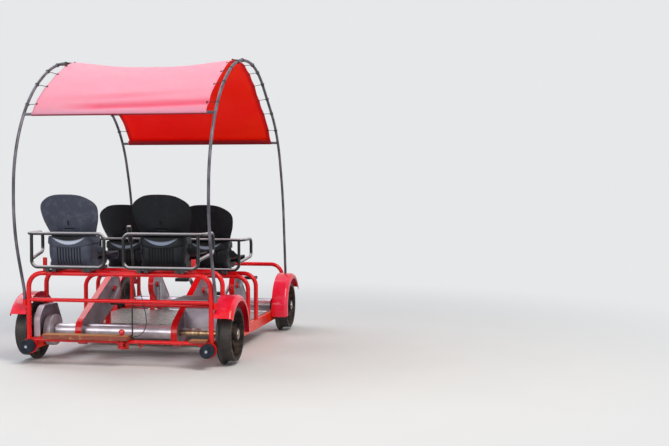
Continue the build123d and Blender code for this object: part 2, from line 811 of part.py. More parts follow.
# Rear coupling: two jaws on the low bar with a pin and its round knob
jaw_gap = 24
jaw_wall = 9
jaw_radius = 24
jaw_back = rear_frame_y - thin_tube_radius - seat_gap
jaw_top = drawbar_z + jaw_gap / 2 + jaw_wall
coupling = block((coupling_x - 40, jaw_back - 8, drawbar_z - 32), (coupling_x + 40, jaw_back, jaw_top))
for low in (drawbar_z - jaw_gap / 2 - jaw_wall, drawbar_z + jaw_gap / 2):
    jaw = block((coupling_x - jaw_radius, jaw_y, low), (coupling_x + jaw_radius, jaw_back, low + jaw_wall))
    jaw += Pos(coupling_x, jaw_y, low + jaw_wall / 2) * Cylinder(jaw_radius, jaw_wall)
    coupling += jaw
coupling -= Pos(coupling_x, jaw_y, drawbar_z) * Cylinder(pin_radius + seat_gap, 90)
save(coupling, "rear_coupling")
knob_radius = 21
knob_z = plank_z + plank_thickness + knob_radius + 3
pin_low = drawbar_z - 32
collar_radius = 15
pin = Pos(coupling_x, jaw_y, pin_low) * extrude(Circle(pin_radius), knob_z - pin_low)
pin += Pos(coupling_x, jaw_y, plank_z + plank_thickness + seat_gap + 2) * Cylinder(collar_radius, 4)
pin += Pos(coupling_x, jaw_y, knob_z) * Sphere(knob_radius)
save(pin, "coupling_pin")

# Luggage shelf behind the right rear seat's hoop, and the splash plate below it
shelf_start = case_outer + 5
shelf_end = post_x - tube_radius - 3
shelf_wall = 3
shelf_z = mid_bar_z + thin_tube_radius + seat_gap
shelf_front = rear_hoop_y
shelf = block((shelf_start, rear_frame_y - 9, shelf_z), (shelf_end, shelf_front, shelf_z + shelf_wall))
shelf += block(
    (shelf_start, shelf_front - shelf_wall, rear_cross_bar_z + thin_tube_radius + seat_gap),
    (shelf_end, shelf_front, shelf_z + shelf_wall),
)
splash_y = rear_hoop_y + 28
splash_low = beam_top + 50
splash_high = beam_top + 190
splash = block((case_outer + seat_gap, splash_y, splash_low), (post_x - tube_radius, splash_y + shelf_wall, splash_high))
save([shelf, splash], "rear_panels")

# Brake lever between the rear seats, pinned beside the centre post
lever_top = (lever_x, lever_y - 75, rear_tube_z + 315)
lever_bend = (lever_x, lever_y, rear_tube_z + 85)
lever = bent_tube([(lever_x, lever_y, lever_pivot_z - 6), lever_bend, lever_top], lever_radius, 60)
lever += rod(
    (lever_x - lever_radius - 2, lever_y, lever_pivot_z),
    (lever_x + lever_radius + 2, lever_y, lever_pivot_z),
    lever_boss_radius,
)
grip_radius = 16
grip_length = 125
lever_slope = (Vector(*lever_top) - Vector(*lever_bend)).normalized()
grip_start = Vector(*lever_top) - lever_slope * (grip_length - 12)
grip = extrude(Plane(origin=grip_start, z_dir=lever_slope) * Circle(grip_radius), grip_length)
grip = fillet(grip.edges().filter_by(GeomType.CIRCLE), 7)
grip -= extrude(Plane(origin=grip_start, z_dir=lever_slope) * Circle(lever_radius + seat_gap), grip_length - 11)
save([lever, grip], "brake_lever")

# Release rod between the two rear bars, and the cable that hangs to it
cable_radius = 3
rod_x = 98
rod_radius = 5
collar_z = low_bar_z + 38
collar_half = 11
release_rod = rod(
    (rod_x, rear_frame_y, low_bar_z + thin_tube_radius + seat_gap),
    (rod_x, rear_frame_y, mid_bar_z - thin_tube_radius - seat_gap),
    rod_radius,
)
collar = Pos(rod_x, rear_frame_y, collar_z) * Cylinder(collar_half - 2, 2 * collar_half)
collar_face = rod_x + collar_half + 3
collar += rod((rod_x, rear_frame_y, collar_z), (collar_face, rear_frame_y, collar_z), 6)
save(release_rod + collar, "release_rod")

cable_points = [
    (clip_x, clip_y, clip_low),
    (clip_x, clip_y, clip_low - 33),
    (clip_x + 9, clip_y + 1, clip_low - 78),
    (clip_x + 21, clip_y + 2, clip_low - 134),
    (clip_x + 34, clip_y + 2, clip_low - 190),
    (clip_x + 48, clip_y + 1, clip_low - 245),
    (clip_x + 58, clip_y - 1, clip_low - 298),
    (clip_x + 57, clip_y - 4, clip_low - 345),
    (clip_x + 40, clip_y - 9, clip_low - 387),
    (clip_x + 12, rear_frame_y + 3, collar_z + 6),
    (collar_face + 16, rear_frame_y, collar_z),
    (collar_face, rear_frame_y, collar_z),
]
cable_share = 0.45


def cable_radii(points):
    """Arc at each corner: a share of its shorter run over the tangent of half the turn."""
    radii = []
    for a, b, c in zip(points, points[1:], points[2:]):
        run_in = Vector(*b) - Vector(*a)
        run_out = Vector(*c) - Vector(*b)
        turn = radians(run_in.get_angle(run_out))
        radii.append(cable_share * min(run_in.length, run_out.length) * cos(turn / 2) / sin(turn / 2))
    return radii


bends = cable_radii(cable_points)
cable_path = FilletPolyline(*cable_points, radius=bends)
cable_start = Plane(origin=cable_path @ 0, z_dir=cable_path % 0)
cable = sweep(cable_start * Circle(cable_radius), path=cable_path)
print("cable length", round(cable_path.length), "least radius", round(min(bends)))
save(cable, "release_cable")
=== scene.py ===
from math import acos, atan2, cos, dist, hypot, pi, radians, sin

import bpy
from mathutils import Matrix, Vector


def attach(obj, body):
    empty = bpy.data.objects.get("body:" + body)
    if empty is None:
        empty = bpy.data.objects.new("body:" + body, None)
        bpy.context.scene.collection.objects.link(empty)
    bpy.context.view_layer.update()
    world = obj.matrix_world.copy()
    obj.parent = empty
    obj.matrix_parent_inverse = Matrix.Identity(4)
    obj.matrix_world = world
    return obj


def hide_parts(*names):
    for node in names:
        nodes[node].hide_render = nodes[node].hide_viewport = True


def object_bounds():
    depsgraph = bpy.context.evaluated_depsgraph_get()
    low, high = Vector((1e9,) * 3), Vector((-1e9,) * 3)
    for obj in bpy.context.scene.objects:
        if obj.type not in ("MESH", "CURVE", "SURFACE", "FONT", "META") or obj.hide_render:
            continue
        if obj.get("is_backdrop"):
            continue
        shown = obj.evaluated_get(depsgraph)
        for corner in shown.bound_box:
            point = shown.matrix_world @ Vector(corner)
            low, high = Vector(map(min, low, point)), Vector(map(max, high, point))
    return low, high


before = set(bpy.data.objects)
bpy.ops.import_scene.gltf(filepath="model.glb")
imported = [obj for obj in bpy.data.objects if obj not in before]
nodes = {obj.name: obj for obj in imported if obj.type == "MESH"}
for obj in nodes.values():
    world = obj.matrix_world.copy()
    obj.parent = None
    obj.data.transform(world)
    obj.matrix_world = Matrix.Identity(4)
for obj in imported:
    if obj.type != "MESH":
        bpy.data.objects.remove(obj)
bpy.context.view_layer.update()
scene = bpy.context.scene
scene.view_settings.view_transform = "Standard"

# Studio. The view is from a standing height, behind the car and to its right,
# looking forward along it. The floor is pale and matt and fades into the backdrop,
# and soft lamps and an even world light the car as a bright hazy day does.
EYE = (2.757, -8.224, 1.304)
LOOK_LEFT = radians(9.857)
LOOK_DOWN = radians(2.327)
LENS = 58.16
FILM = 36.0
FLOOR_HALF = 400.0
FADE_START = 1.7
FADE_END = 5.6
BACKDROP = "#E7E8EA"


def hex_colour(code):
    """A hex sRGB colour as linear RGBA."""
    channels = [int(code[i:i + 2], 16) / 255 for i in (1, 3, 5)]
    linear = [c / 12.92 if c <= 0.04045 else ((c + 0.055) / 1.055) ** 2.4 for c in channels]
    return (*linear, 1.0)


def add(tree, kind, inputs=None, out=0, **settings):
    """Add a node and give back one of its outputs, or the node where out is None.

    An input is a value, a hex colour or the output that feeds it.
    """
    node = tree.nodes.new(kind)
    for key, value in settings.items():
        setattr(node, key, value)
    for key, value in (inputs or {}).items():
        if isinstance(value, bpy.types.NodeSocket):
            tree.links.new(value, node.inputs[key])
        elif isinstance(value, str) and value.startswith("#"):
            node.inputs[key].default_value = hex_colour(value)
        else:
            node.inputs[key].default_value = value
    return node if out is None else node.outputs[out]


def start_finish(name, **shader):
    """A material with constants set: (material, tree, shader node, object coordinates)."""
    material = bpy.data.materials.new(name)
    material.use_nodes = True
    tree = material.node_tree
    principled = tree.nodes["Principled BSDF"]
    for key, value in shader.items():
        socket = principled.inputs[key.replace("_", " ")]
        socket.default_value = hex_colour(value) if isinstance(value, str) else value
    return material, tree, principled, add(tree, "ShaderNodeTexCoord", out="Object")


def patches(
    tree, place, size, low=0.0, high=1.0, start=0.0, end=1.0, detail=4, rough=0.55, stretch=(1, 1, 1),
):
    """Uneven patches about size metres across; noise from low to high becomes start to end."""
    spread = add(tree, "ShaderNodeMapping", {"Vector": place, "Scale": stretch})
    settings = {"Vector": spread, "Scale": 1 / size, "Detail": detail, "Roughness": rough}
    noise = add(tree, "ShaderNodeTexNoise", settings, "Fac")
    limits = {"Value": noise, "From Min": low, "From Max": high, "To Min": start, "To Max": end}
    return add(tree, "ShaderNodeMapRange", limits)


def coated(tree, colour, *coats):
    """A colour under coats; each is its share of the surface and the colour it has there."""
    for share, coat in coats:
        colour = add(tree, "ShaderNodeMix", {0: share, 6: colour, 7: coat}, 2, data_type="RGBA")
    return colour


def feed(tree, principled, colour=None, roughness=None, height=None, depth=0.001):
    """Link a finish's colour, roughness and bump, of depth metres, to its shader."""
    for socket, value in (("Base Color", colour), ("Roughness", roughness)):
        if value is not None:
            tree.links.new(value, principled.inputs[socket])
    if height is not None:
        bump = add(tree, "ShaderNodeBump", {"Strength": 1.0, "Distance": depth, "Height": height})
        tree.links.new(bump, principled.inputs["Normal"])


def put(name, data):
    """An object of the given data in the scene, at the origin."""
    made = bpy.data.objects.new(name, data)
    scene.collection.objects.link(made)
    return made


def mesh_object(name, points, faces, materials=(), smooth=True):
    """An object at the origin from points in the car's frame."""
    mesh = bpy.data.meshes.new(name)
    mesh.from_pydata([tuple(p) for p in points], [], faces)
    mesh.update()
    for material in materials:
        mesh.materials.append(material)
    mesh.polygons.foreach_set("use_smooth", [smooth] * len(mesh.polygons))
    return put(name, mesh)


camera_data = bpy.data.cameras.new("view")
camera_data.lens = LENS
camera_data.sensor_width = FILM
camera_data.clip_end = 2 * FLOOR_HALF
camera = put("view", camera_data)
camera.location = EYE
camera.rotation_euler = (pi / 2 - LOOK_DOWN, 0, LOOK_LEFT)
scene.camera = camera

floor_corners = [(x * FLOOR_HALF, y * FLOOR_HALF, 0) for x, y in ((-1, -1), (1, -1), (1, 1), (-1, 1))]
floor_paint, tree, principled, place = start_finish("studio floor paint", Roughness=0.75)
feed(tree, principled, coated(tree, "#D3D2D0", (patches(tree, place, 0.6), "#DAD9D7")))
reach = add(tree, "ShaderNodeVectorMath", {0: place}, "Value", operation="LENGTH")
fade = {"Value": reach, "From Min": FADE_START, "From Max": FADE_END}
far = add(tree, "ShaderNodeMapRange", fade, interpolation_type="SMOOTHSTEP")
rays = add(tree, "ShaderNodeLightPath", out=None).outputs
unlit = add(tree, "ShaderNodeMath", {0: far, 1: rays["Is Camera Ray"]}, operation="MULTIPLY")
glow = add(tree, "ShaderNodeEmission", {"Color": BACKDROP, "Strength": 1.0})
faded = add(tree, "ShaderNodeMixShader", {0: unlit, 1: principled.outputs[0], 2: glow})
tree.links.new(faded, tree.nodes["Material Output"].inputs["Surface"])
floor = mesh_object("studio_floor", floor_corners, [(0, 1, 2, 3)], [floor_paint], smooth=False)
floor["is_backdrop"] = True

haze = bpy.data.worlds.new("hazy light")
haze.use_nodes = True
scene.world = haze
tree = haze.node_tree
rays = add(tree, "ShaderNodeLightPath", out=None).outputs
seen = rays["Is Camera Ray"]
for ray in ("Is Glossy Ray", "Is Transmission Ray"):
    seen = add(tree, "ShaderNodeMath", {0: seen, 1: rays[ray]}, operation="ADD", use_clamp=True)
backdrop = coated(tree, "#C6CDD6", (seen, BACKDROP))
tree.links.new(backdrop, tree.nodes["Background"].inputs["Color"])
strength = add(tree, "ShaderNodeMapRange", {"Value": seen, "To Min": 0.75, "To Max": 1.0})
tree.links.new(strength, tree.nodes["Background"].inputs["Strength"])

for name, at, aim, size, power, tint in (
    ("warm side lamp", (4.5, -4.0, 6.5), (0.0, -0.3, 0.8), 3.5, 430, "#FFF6EA"),
    ("wide top lamp", (-4.0, 1.5, 7.0), (0.0, 0.0, 1.0), 5.0, 260, "#F1F6FF"),
    ("low rear lamp", (-2.5, -7.5, 2.2), (0.0, -0.6, 0.6), 3.0, 120, "#FFFFFF"),
):
    lamp_data = bpy.data.lights.new(name, "AREA")
    lamp_data.size = size
    lamp_data.energy = power
    lamp_data.color = hex_colour(tint)[:3]
    lamp = put(name, lamp_data)
    lamp.location = at
    lamp.rotation_euler = (Vector(aim) - Vector(at)).to_track_quat("-Z", "Y").to_euler()

# Release cable. A thin steel wire in a black PVC sheath leaves a clip under the
# rear tube, hangs behind the seats' hoop and turns back into the collar of the
# release rod. The sheath is extruded, satin and a little dusty.
CABLE_RADIUS = 0.003
CLIP = (0.136, -1.091, 0.630)
cable_route = [
    CLIP,
    (0.136, -1.091, 0.597),
    (0.145, -1.090, 0.552),
    (0.157, -1.089, 0.496),
    (0.170, -1.089, 0.440),
    (0.184, -1.090, 0.385),
    (0.194, -1.092, 0.332),
    (0.193, -1.095, 0.285),
    (0.176, -1.100, 0.243),
    (0.148, -1.110, 0.219),
    (0.128, -1.113, 0.213),
    (0.112, -1.113, 0.213),
]
cable_line = bpy.data.curves.new("release_cable_sheath", "CURVE")
cable_line.dimensions = "3D"
cable_line.bevel_depth = CABLE_RADIUS
cable_line.bevel_resolution = 4
cable_line.resolution_u = 10
cable_line.use_fill_caps = True
spline = cable_line.splines.new("NURBS")
spline.points.add(len(cable_route) - 1)
for point, spot in zip(spline.points, cable_route):
    point.co = (*spot, 1.0)
spline.order_u = 3
spline.use_endpoint_u = True


def mottled(
    name, colour, light, size, span, dull=None, dull_span=(0.0, 1.0), bump=None,
    detail=4, rough=0.55, stretch=(1, 1, 1), **shader,
):
    """A finish of two tones in patches about size metres across.

    The noise turns one tone into the other over span, and sets the roughness from the
    first of dull to the second over dull_span.
    """
    material, tree, principled, place = start_finish(name, **shader)
    noise = patches(tree, place, size, detail=detail, rough=rough, stretch=stretch)
    share = add(tree, "ShaderNodeMapRange", {"Value": noise, "From Min": span[0], "From Max": span[1]})
    feed(tree, principled, coated(tree, colour, (share, light)), None, noise if bump else None, bump)
    if dull:
        limits = zip(("From Min", "From Max", "To Min", "To Max"), (*dull_span, *dull))
        sheen = add(tree, "ShaderNodeMapRange", {"Value": noise, **dict(limits)})
        feed(tree, principled, None, sheen)
    return material


sheath = mottled(
    "extruded PVC sheath", "#0C0C0D", "#24211F", 0.02, (0.45, 0.7), (0.38, 0.62), (0.3, 0.7),
)
cable_line.materials.append(sheath)
cable = put("release_cable_sheath", cable_line)
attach(cable, "chassis")
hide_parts("release_cable")

# Welded frame. Mild steel tube and box section, brushed and sprayed with red
# enamel. Dust and rust sit low down, and small chips show dark primer or bare
# steel. The long beams have a more orange red of their own.
POST_X = 0.665
TUBE_RADIUS = 0.017
BAR_RADIUS = 0.0135
REAR_FRAME = -1.113
FRONT_FRAME = 1.101
REAR_HOOP = -0.826
FRONT_HOOPS = (-0.103, 0.147)
BEAM_TOP = 0.185
MID_BAR = 0.457
LOW_BAR = 0.175
DUST_FADE = 0.12


def enamel(name, colour, light, dirt_top, chips=0.70, gloss=0.22, shine=0.28):
    """Sprayed enamel: orange peel, slight fading, chips, and dust below dirt_top metres."""
    shader = {"Specular_IOR_Level": shine, "Coat_Weight": 0.12, "Coat_Roughness": 0.1}
    material, tree, principled, place = start_finish(name, **shader)
    fading = patches(tree, place, 0.22, 0.42, 0.66)
    height = add(tree, "ShaderNodeSeparateXYZ", {0: place}, "Z")
    span = {"Value": height, "From Min": dirt_top, "From Max": dirt_top - DUST_FADE}
    low = add(tree, "ShaderNodeMapRange", span)
    thin = patches(tree, place, 0.05, 0.44, 0.66, 0.0, 0.75, detail=6)
    dust = add(tree, "ShaderNodeMath", {0: low, 1: thin}, operation="MULTIPLY")
    grit = patches(tree, place, 0.012, detail=6, rough=0.7)
    chip = add(tree, "ShaderNodeMapRange", {"Value": grit, "From Min": chips, "From Max": chips + 0.03})
    under = coated(tree, "#3B1512", (patches(tree, place, 0.03, 0.5, 0.56), "#A79C9D"))
    chipped = coated(tree, colour, (fading, light), (dust, "#6E3A2C"), (chip, under))
    limits = {"From Min": 0.3, "From Max": 0.8, "To Min": gloss - 0.05, "To Max": gloss + 0.14}
    dull = add(tree, "ShaderNodeMapRange", {"Value": grit, **limits})
    dulled = add(tree, "ShaderNodeMath", {0: dust, 1: 0.45, 2: dull}, operation="MULTIPLY_ADD")
    peel = patches(tree, place, 0.006, 0.3, 0.7, 0.4, 0.6, detail=2)
    relief = add(tree, "ShaderNodeMath", {0: chip, 1: -0.4, 2: peel}, operation="MULTIPLY_ADD")
    feed(tree, principled, chipped, dulled, relief, 0.0004)
    return material


def paint(material, *names):
    """Give CAD nodes their finish."""
    for name in names:
        nodes[name].material_slots[0].material = material


frame_enamel = enamel("red frame enamel", "#D4060F", "#E6121B", 0.24, chips=0.655)
# The beams get a more orange red of their own.
beam_enamel = enamel("faded beam enamel", "#E22A10", "#F23C1C", 0.12, shine=0.12)
paint(frame_enamel, "rear_frame", "front_frame", "rear_seat_hoop", "front_seat_hoops")
paint(frame_enamel, "case_stands", "rear_coupling", "front_drawbar")
paint(beam_enamel, "side_beams")

# Weld beads. Each bar is run round with a wire-fed weld, which leaves a ring of
# small overlapping ripples, sprayed over with the frame's enamel.
BEAD = 0.0032


def start_group(name, sizes):
    """A geometry tree with named sizes and a finish: (tree, its inputs, their identifiers)."""
    tree = bpy.data.node_groups.new(name, "GeometryNodeTree")
    kinds = {int: "NodeSocketInt", float: "NodeSocketFloat"}
    sockets = {"Geometry": "NodeSocketGeometry"}
    sockets.update((key, kinds[type(value)]) for key, value in sizes.items())
    sockets["Finish"] = "NodeSocketMaterial"
    identifiers = {}
    for key, kind in sockets.items():
        socket = tree.interface.new_socket(key, in_out="INPUT", socket_type=kind)
        identifiers[key] = socket.identifier
        if key in sizes:
            socket.default_value = sizes[key]
    tree.interface.new_socket("Geometry", in_out="OUTPUT", socket_type="NodeSocketGeometry")
    return tree, add(tree, "NodeGroupInput", out=None).outputs, identifiers


def end_group(tree, given, geometry):
    """Realise instances and set the finish, as every repeat here ends."""
    solid = add(tree, "GeometryNodeRealizeInstances", {0: geometry})
    painted = add(tree, "GeometryNodeSetMaterial", {"Geometry": solid, "Material": given["Finish"]})
    add(tree, "NodeGroupOutput", {0: painted}, None)


def plain_copy(source, name):
    """The evaluated shape of an object as a plain mesh at the origin; the source goes."""
    graph = bpy.context.evaluated_depsgraph_get()
    mesh = bpy.data.meshes.new_from_object(source.evaluated_get(graph), depsgraph=graph)
    bpy.data.objects.remove(source)
    mesh.name = name
    return put(name, mesh)


def store(mesh, layers):
    """Keep named values on a mesh's points: a number or a vector for each."""
    for key, values in layers.items():
        if hasattr(values[0], "__len__"):
            flat = [number for vector in values for number in vector]
            mesh.attributes.new(key, "FLOAT_VECTOR", "POINT").data.foreach_set("vector", flat)
        else:
            mesh.attributes.new(key, "FLOAT", "POINT").data.foreach_set("value", values)


def grow(name, group, points, body, slot, layers, **sizes):
    """Run a geometry tree on points in the car's frame and keep the result as a plain mesh."""
    tree, _, identifiers = group
    base = bpy.data.meshes.new(name + "_points")
    base.from_pydata([tuple(p) for p in points], [], [])
    store(base, layers)
    carrier = put(name + "_points", base)
    modifier = carrier.modifiers.new("repeat", "NODES")
    modifier.node_group = tree
    for key, value in sizes.items():
        modifier[identifiers[key]] = value
    made = plain_copy(carrier, name)
    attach(made, body)


def facing(direction):
    """Euler angles that turn +Z to a direction."""
    return tuple(Vector(direction).to_track_quat("Z", "Y").to_euler())


def carried_turn(tree):
    """The rotation that each point carries in its turn attribute."""
    turn = add(tree, "GeometryNodeInputNamedAttribute", {"Name": "turn"}, data_type="FLOAT_VECTOR")
    return add(tree, "FunctionNodeEulerToRotation", {0: turn})


weld_group = start_group("weld bead", {"Bead": BEAD, "Steps": 40})
tree, given, _ = weld_group
ring = add(tree, "GeometryNodeCurvePrimitiveCircle", {"Resolution": given["Steps"], "Radius": 1.0})
girth = add(tree, "GeometryNodeInputNamedAttribute", {"Name": "girth"}, data_type="FLOAT")
laid = {"Points": given["Geometry"], "Instance": ring, "Rotation": carried_turn(tree), "Scale": girth}
rings = add(tree, "GeometryNodeRealizeInstances", {0: add(tree, "GeometryNodeInstanceOnPoints", laid)})
ripple = add(tree, "FunctionNodeRandomValue", {2: 0.72, 3: 1.15, "Seed": 5}, 1, data_type="FLOAT")
bead = add(tree, "GeometryNodeCurvePrimitiveCircle", {"Resolution": 8, "Radius": given["Bead"]})
swept = add(tree, "GeometryNodeCurveToMesh", {"Curve": rings, "Profile Curve": bead, "Scale": ripple})
end_group(tree, given, add(tree, "GeometryNodeSetShadeSmooth", {"Geometry": swept}))

# Place, axis and girth of each bead. The rear hoop has a middle post on a cross bar.
UP, ACROSS = (0, 0, 1), (1, 0, 0)
MIDDLE_POST = -0.01
MIDDLE_TOP = 0.628
MIDDLE_FOOT = 0.4145
CROSS_BAR = 0.4
post_face = POST_X - TUBE_RADIUS + 0.001
welds = [((MIDDLE_POST, REAR_HOOP, z), UP, BAR_RADIUS) for z in (MIDDLE_TOP, MIDDLE_FOOT)]
welds.append(((post_face, REAR_HOOP, CROSS_BAR), ACROSS, BAR_RADIUS))
for side in (-1, 1):
    for y, z in ((REAR_FRAME, MID_BAR), (REAR_FRAME, LOW_BAR), (FRONT_FRAME, LOW_BAR)):
        welds.append(((side * post_face, y, z), ACROSS, BAR_RADIUS))
    for y in (REAR_HOOP, *FRONT_HOOPS):
        welds.append(((side * POST_X, y, BEAM_TOP + 0.002), UP, TUBE_RADIUS))
spots, axes, girths = zip(*welds)
weld_layers = {"girth": girths, "turn": [facing(axis) for axis in axes]}
grow("weld_beads", weld_group, spots, "chassis", "frame_red", weld_layers, Finish=frame_enamel)

# Running gear. The wheels are cast iron, black and grainy from the sand mould and
# worn smooth on the tread; the shafts are turned steel under a film of brown oil.
AXLE_HEIGHT = 0.215
HALF_BASE = 0.889
TREAD_RADIUS = 0.190
cast_iron, tree, principled, place = start_finish("sand-cast iron", Metallic=0.4, Specular_IOR_Level=0.2)
grain = patches(tree, place, 0.004, detail=3)
rust = patches(tree, place, 0.05, 0.46, 0.64, detail=7, rough=0.65)
reaches = []
for y in (-HALF_BASE, HALF_BASE):
    centred = add(tree, "ShaderNodeVectorMath", {0: place, 1: (0, y, AXLE_HEIGHT)}, operation="SUBTRACT")
    flat = add(tree, "ShaderNodeVectorMath", {0: centred, 1: (0, 1, 1)}, operation="MULTIPLY")
    reaches.append(add(tree, "ShaderNodeVectorMath", {0: flat}, "Value", operation="LENGTH"))
nearest = add(tree, "ShaderNodeMath", {0: reaches[0], 1: reaches[1]}, operation="MINIMUM")
edge = {"Value": nearest, "From Min": TREAD_RADIUS - 0.0025, "From Max": TREAD_RADIUS - 0.0015}
tread = add(tree, "ShaderNodeMapRange", edge)
wear_and_highlight = patches(tree, place, 0.01, 0.35, 0.6, 0.55, 1.0, stretch=(3, 1, 1))
worn = add(tree, "ShaderNodeMath", {0: tread, 1: wear_and_highlight}, operation="MULTIPLY")
iron_colour = coated(tree, "#201F1F", (grain, "#3A3736"), (rust, "#5A4A3E"), (worn, "#3F3D3C"))
polish = add(tree, "ShaderNodeMapRange", {"Value": worn, "To Min": 0.62, "To Max": 0.34})
unworn = add(tree, "ShaderNodeMath", {0: 1.0, 1: worn}, operation="SUBTRACT")
pits = add(tree, "ShaderNodeMath", {0: grain, 1: unworn}, operation="MULTIPLY")
feed(tree, principled, iron_colour, polish, pits, 0.0006)
paint(cast_iron, "wheels_rear", "wheels_front")

oily_steel = mottled(
    "oiled turned steel", "#D0B58F", "#8A6E50", 0.02, (0.4, 0.65), (0.3, 0.5), (0.3, 0.7),
    detail=5, stretch=(1, 0.2, 0.2), Metallic=0.9,
)
paint(oily_steel, "axle_rear", "axle_front")
bearing_paint = enamel("painted bearing iron", "#960F10", "#A81A14", 0.30, chips=0.62, gloss=0.4)
paint(bearing_paint, "axle_bearings")

# Bolts. Hexagon heads on washers hold the bearings, the floor, the case plates and
# the buffers, and one large nut closes each hub. All are steel with a bright zinc
# plating that has clouded in small patches.
zinc = mottled(
    "zinc plated steel", "#B9BBBF", "#8E8F94", 0.012, (0.35, 0.7), (0.22, 0.44),
    bump=0.0002, detail=5, Metallic=1.0,
)
WASHER_WALL = 0.003
bolt_group = start_group("hexagon bolt", {"Head": 0.0065, "Rise": 0.0045, "Washer": 0.0085})
tree, given, _ = bolt_group
hexagon = {"Vertices": 6, "Radius": given["Head"], "Depth": given["Rise"]}
head = add(tree, "GeometryNodeMeshCylinder", hexagon)
above = {0: given["Rise"], 1: 0.5, 2: WASHER_WALL / 3}
lift = add(tree, "ShaderNodeMath", above, operation="MULTIPLY_ADD")
lift = add(tree, "ShaderNodeCombineXYZ", {2: lift})
head = add(tree, "GeometryNodeTransform", {"Geometry": head, "Translation": lift})
washer = {"Vertices": 18, "Radius": given["Washer"], "Depth": WASHER_WALL}
disc = add(tree, "GeometryNodeMeshCylinder", washer)
both = add(tree, "GeometryNodeJoinGeometry", {0: disc})
tree.links.new(head, both.node.inputs[0])
laid = {"Points": given["Geometry"], "Instance": both, "Rotation": carried_turn(tree)}
end_group(tree, given, add(tree, "GeometryNodeInstanceOnPoints", laid))


def bolt(name, places, body="chassis", **sizes):
    """Bolts of one size on a body; each place is a washer's centre and its outward direction."""
    spots, ways = zip(*places)
    turns = {"turn": [facing(way) for way in ways]}
    grow(name, bolt_group, spots, body, "crank_steel", turns, Finish=zinc, **sizes)


BEARING_X = 0.663
FOOT_TOP = 0.1943
FOOT_REACH = 0.034
HUB_END = 0.795
feet = [
    ((side * BEARING_X, y + way * FOOT_REACH, FOOT_TOP), UP)
    for side in (-1, 1)
    for y in (-HALF_BASE, HALF_BASE)
    for way in (-1, 1)
]
bolt("bearing_bolts", feet, Head=0.006, Rise=0.005, Washer=0.0075)
for row, y in (("rear", -HALF_BASE), ("front", HALF_BASE)):
    ends = [((side * HUB_END, y, AXLE_HEIGHT), (side, 0, 0)) for side in (-1, 1)]
    bolt(f"hub_nuts_{row}", ends, f"{row}_wheelset", Head=0.026, Rise=0.004, Washer=0.033)

# Stainless covers. 304 sheet, rolled and brushed along the sheet; it shows long
# fine streaks, a soft highlight and a little road dust below.
DUST_FOOT = 0.17
DUST_TOP = 0.30


def brushed(name, colour, dark, stretch, rough=0.3, metal=1.0):
    """Brushed stainless: streaks along one direction, smeared and dusty."""
    material, tree, principled, place = start_finish(name, Metallic=metal)
    lines = patches(tree, place, 0.0025, detail=3, rough=0.6, stretch=stretch)
    smear = patches(tree, place, 0.12, detail=5)
    cloudy = add(tree, "ShaderNodeMapRange", {"Value": smear, "From Min": 0.38, "From Max": 0.68})
    span = {"Value": lines, "From Min": 0.3, "From Max": 0.7, "To Max": 0.3}
    scored = add(tree, "ShaderNodeMapRange", span)
    height = add(tree, "ShaderNodeSeparateXYZ", {0: place}, "Z")
    span = {"Value": height, "From Min": DUST_TOP, "From Max": DUST_FOOT, "To Max": 0.45}
    low = add(tree, "ShaderNodeMapRange", span)
    dust = add(tree, "ShaderNodeMath", {0: low, 1: smear}, operation="MULTIPLY")
    dusty = coated(tree, colour, (cloudy, dark), (scored, dark), (dust, "#6B5A50"))
    dull = add(tree, "ShaderNodeMath", {0: smear, 1: 0.12, 2: rough - 0.08}, operation="MULTIPLY_ADD")
    dull = add(tree, "ShaderNodeMath", {0: lines, 1: 0.2, 2: dull}, operation="MULTIPLY_ADD")
    feed(tree, principled, dusty, dull, lines, 0.00015)
    return material


tube_steel = brushed("stainless rolled tube", "#D6D0D6", "#ADA6AF", (0.02, 1, 1))
plate_steel = brushed("stainless flat sheet", "#ABA2AA", "#877E88", (1, 0.03, 1), rough=0.36)
dull_steel = brushed("stainless guard sheet", "#C4B6BF", "#9D8F99", (1, 1, 0.03), rough=0.42, metal=0.6)
drum_steel = brushed("turned drum steel", "#E2DAE0", "#B9AEB7", (1, 0.03, 0.03), rough=0.34, metal=0.55)
paint(tube_steel, "axle_covers")
paint(drum_steel, "brake_drum")
paint(plate_steel, "chain_case_plates", "rear_panels")
paint(dull_steel, "brake_guard")

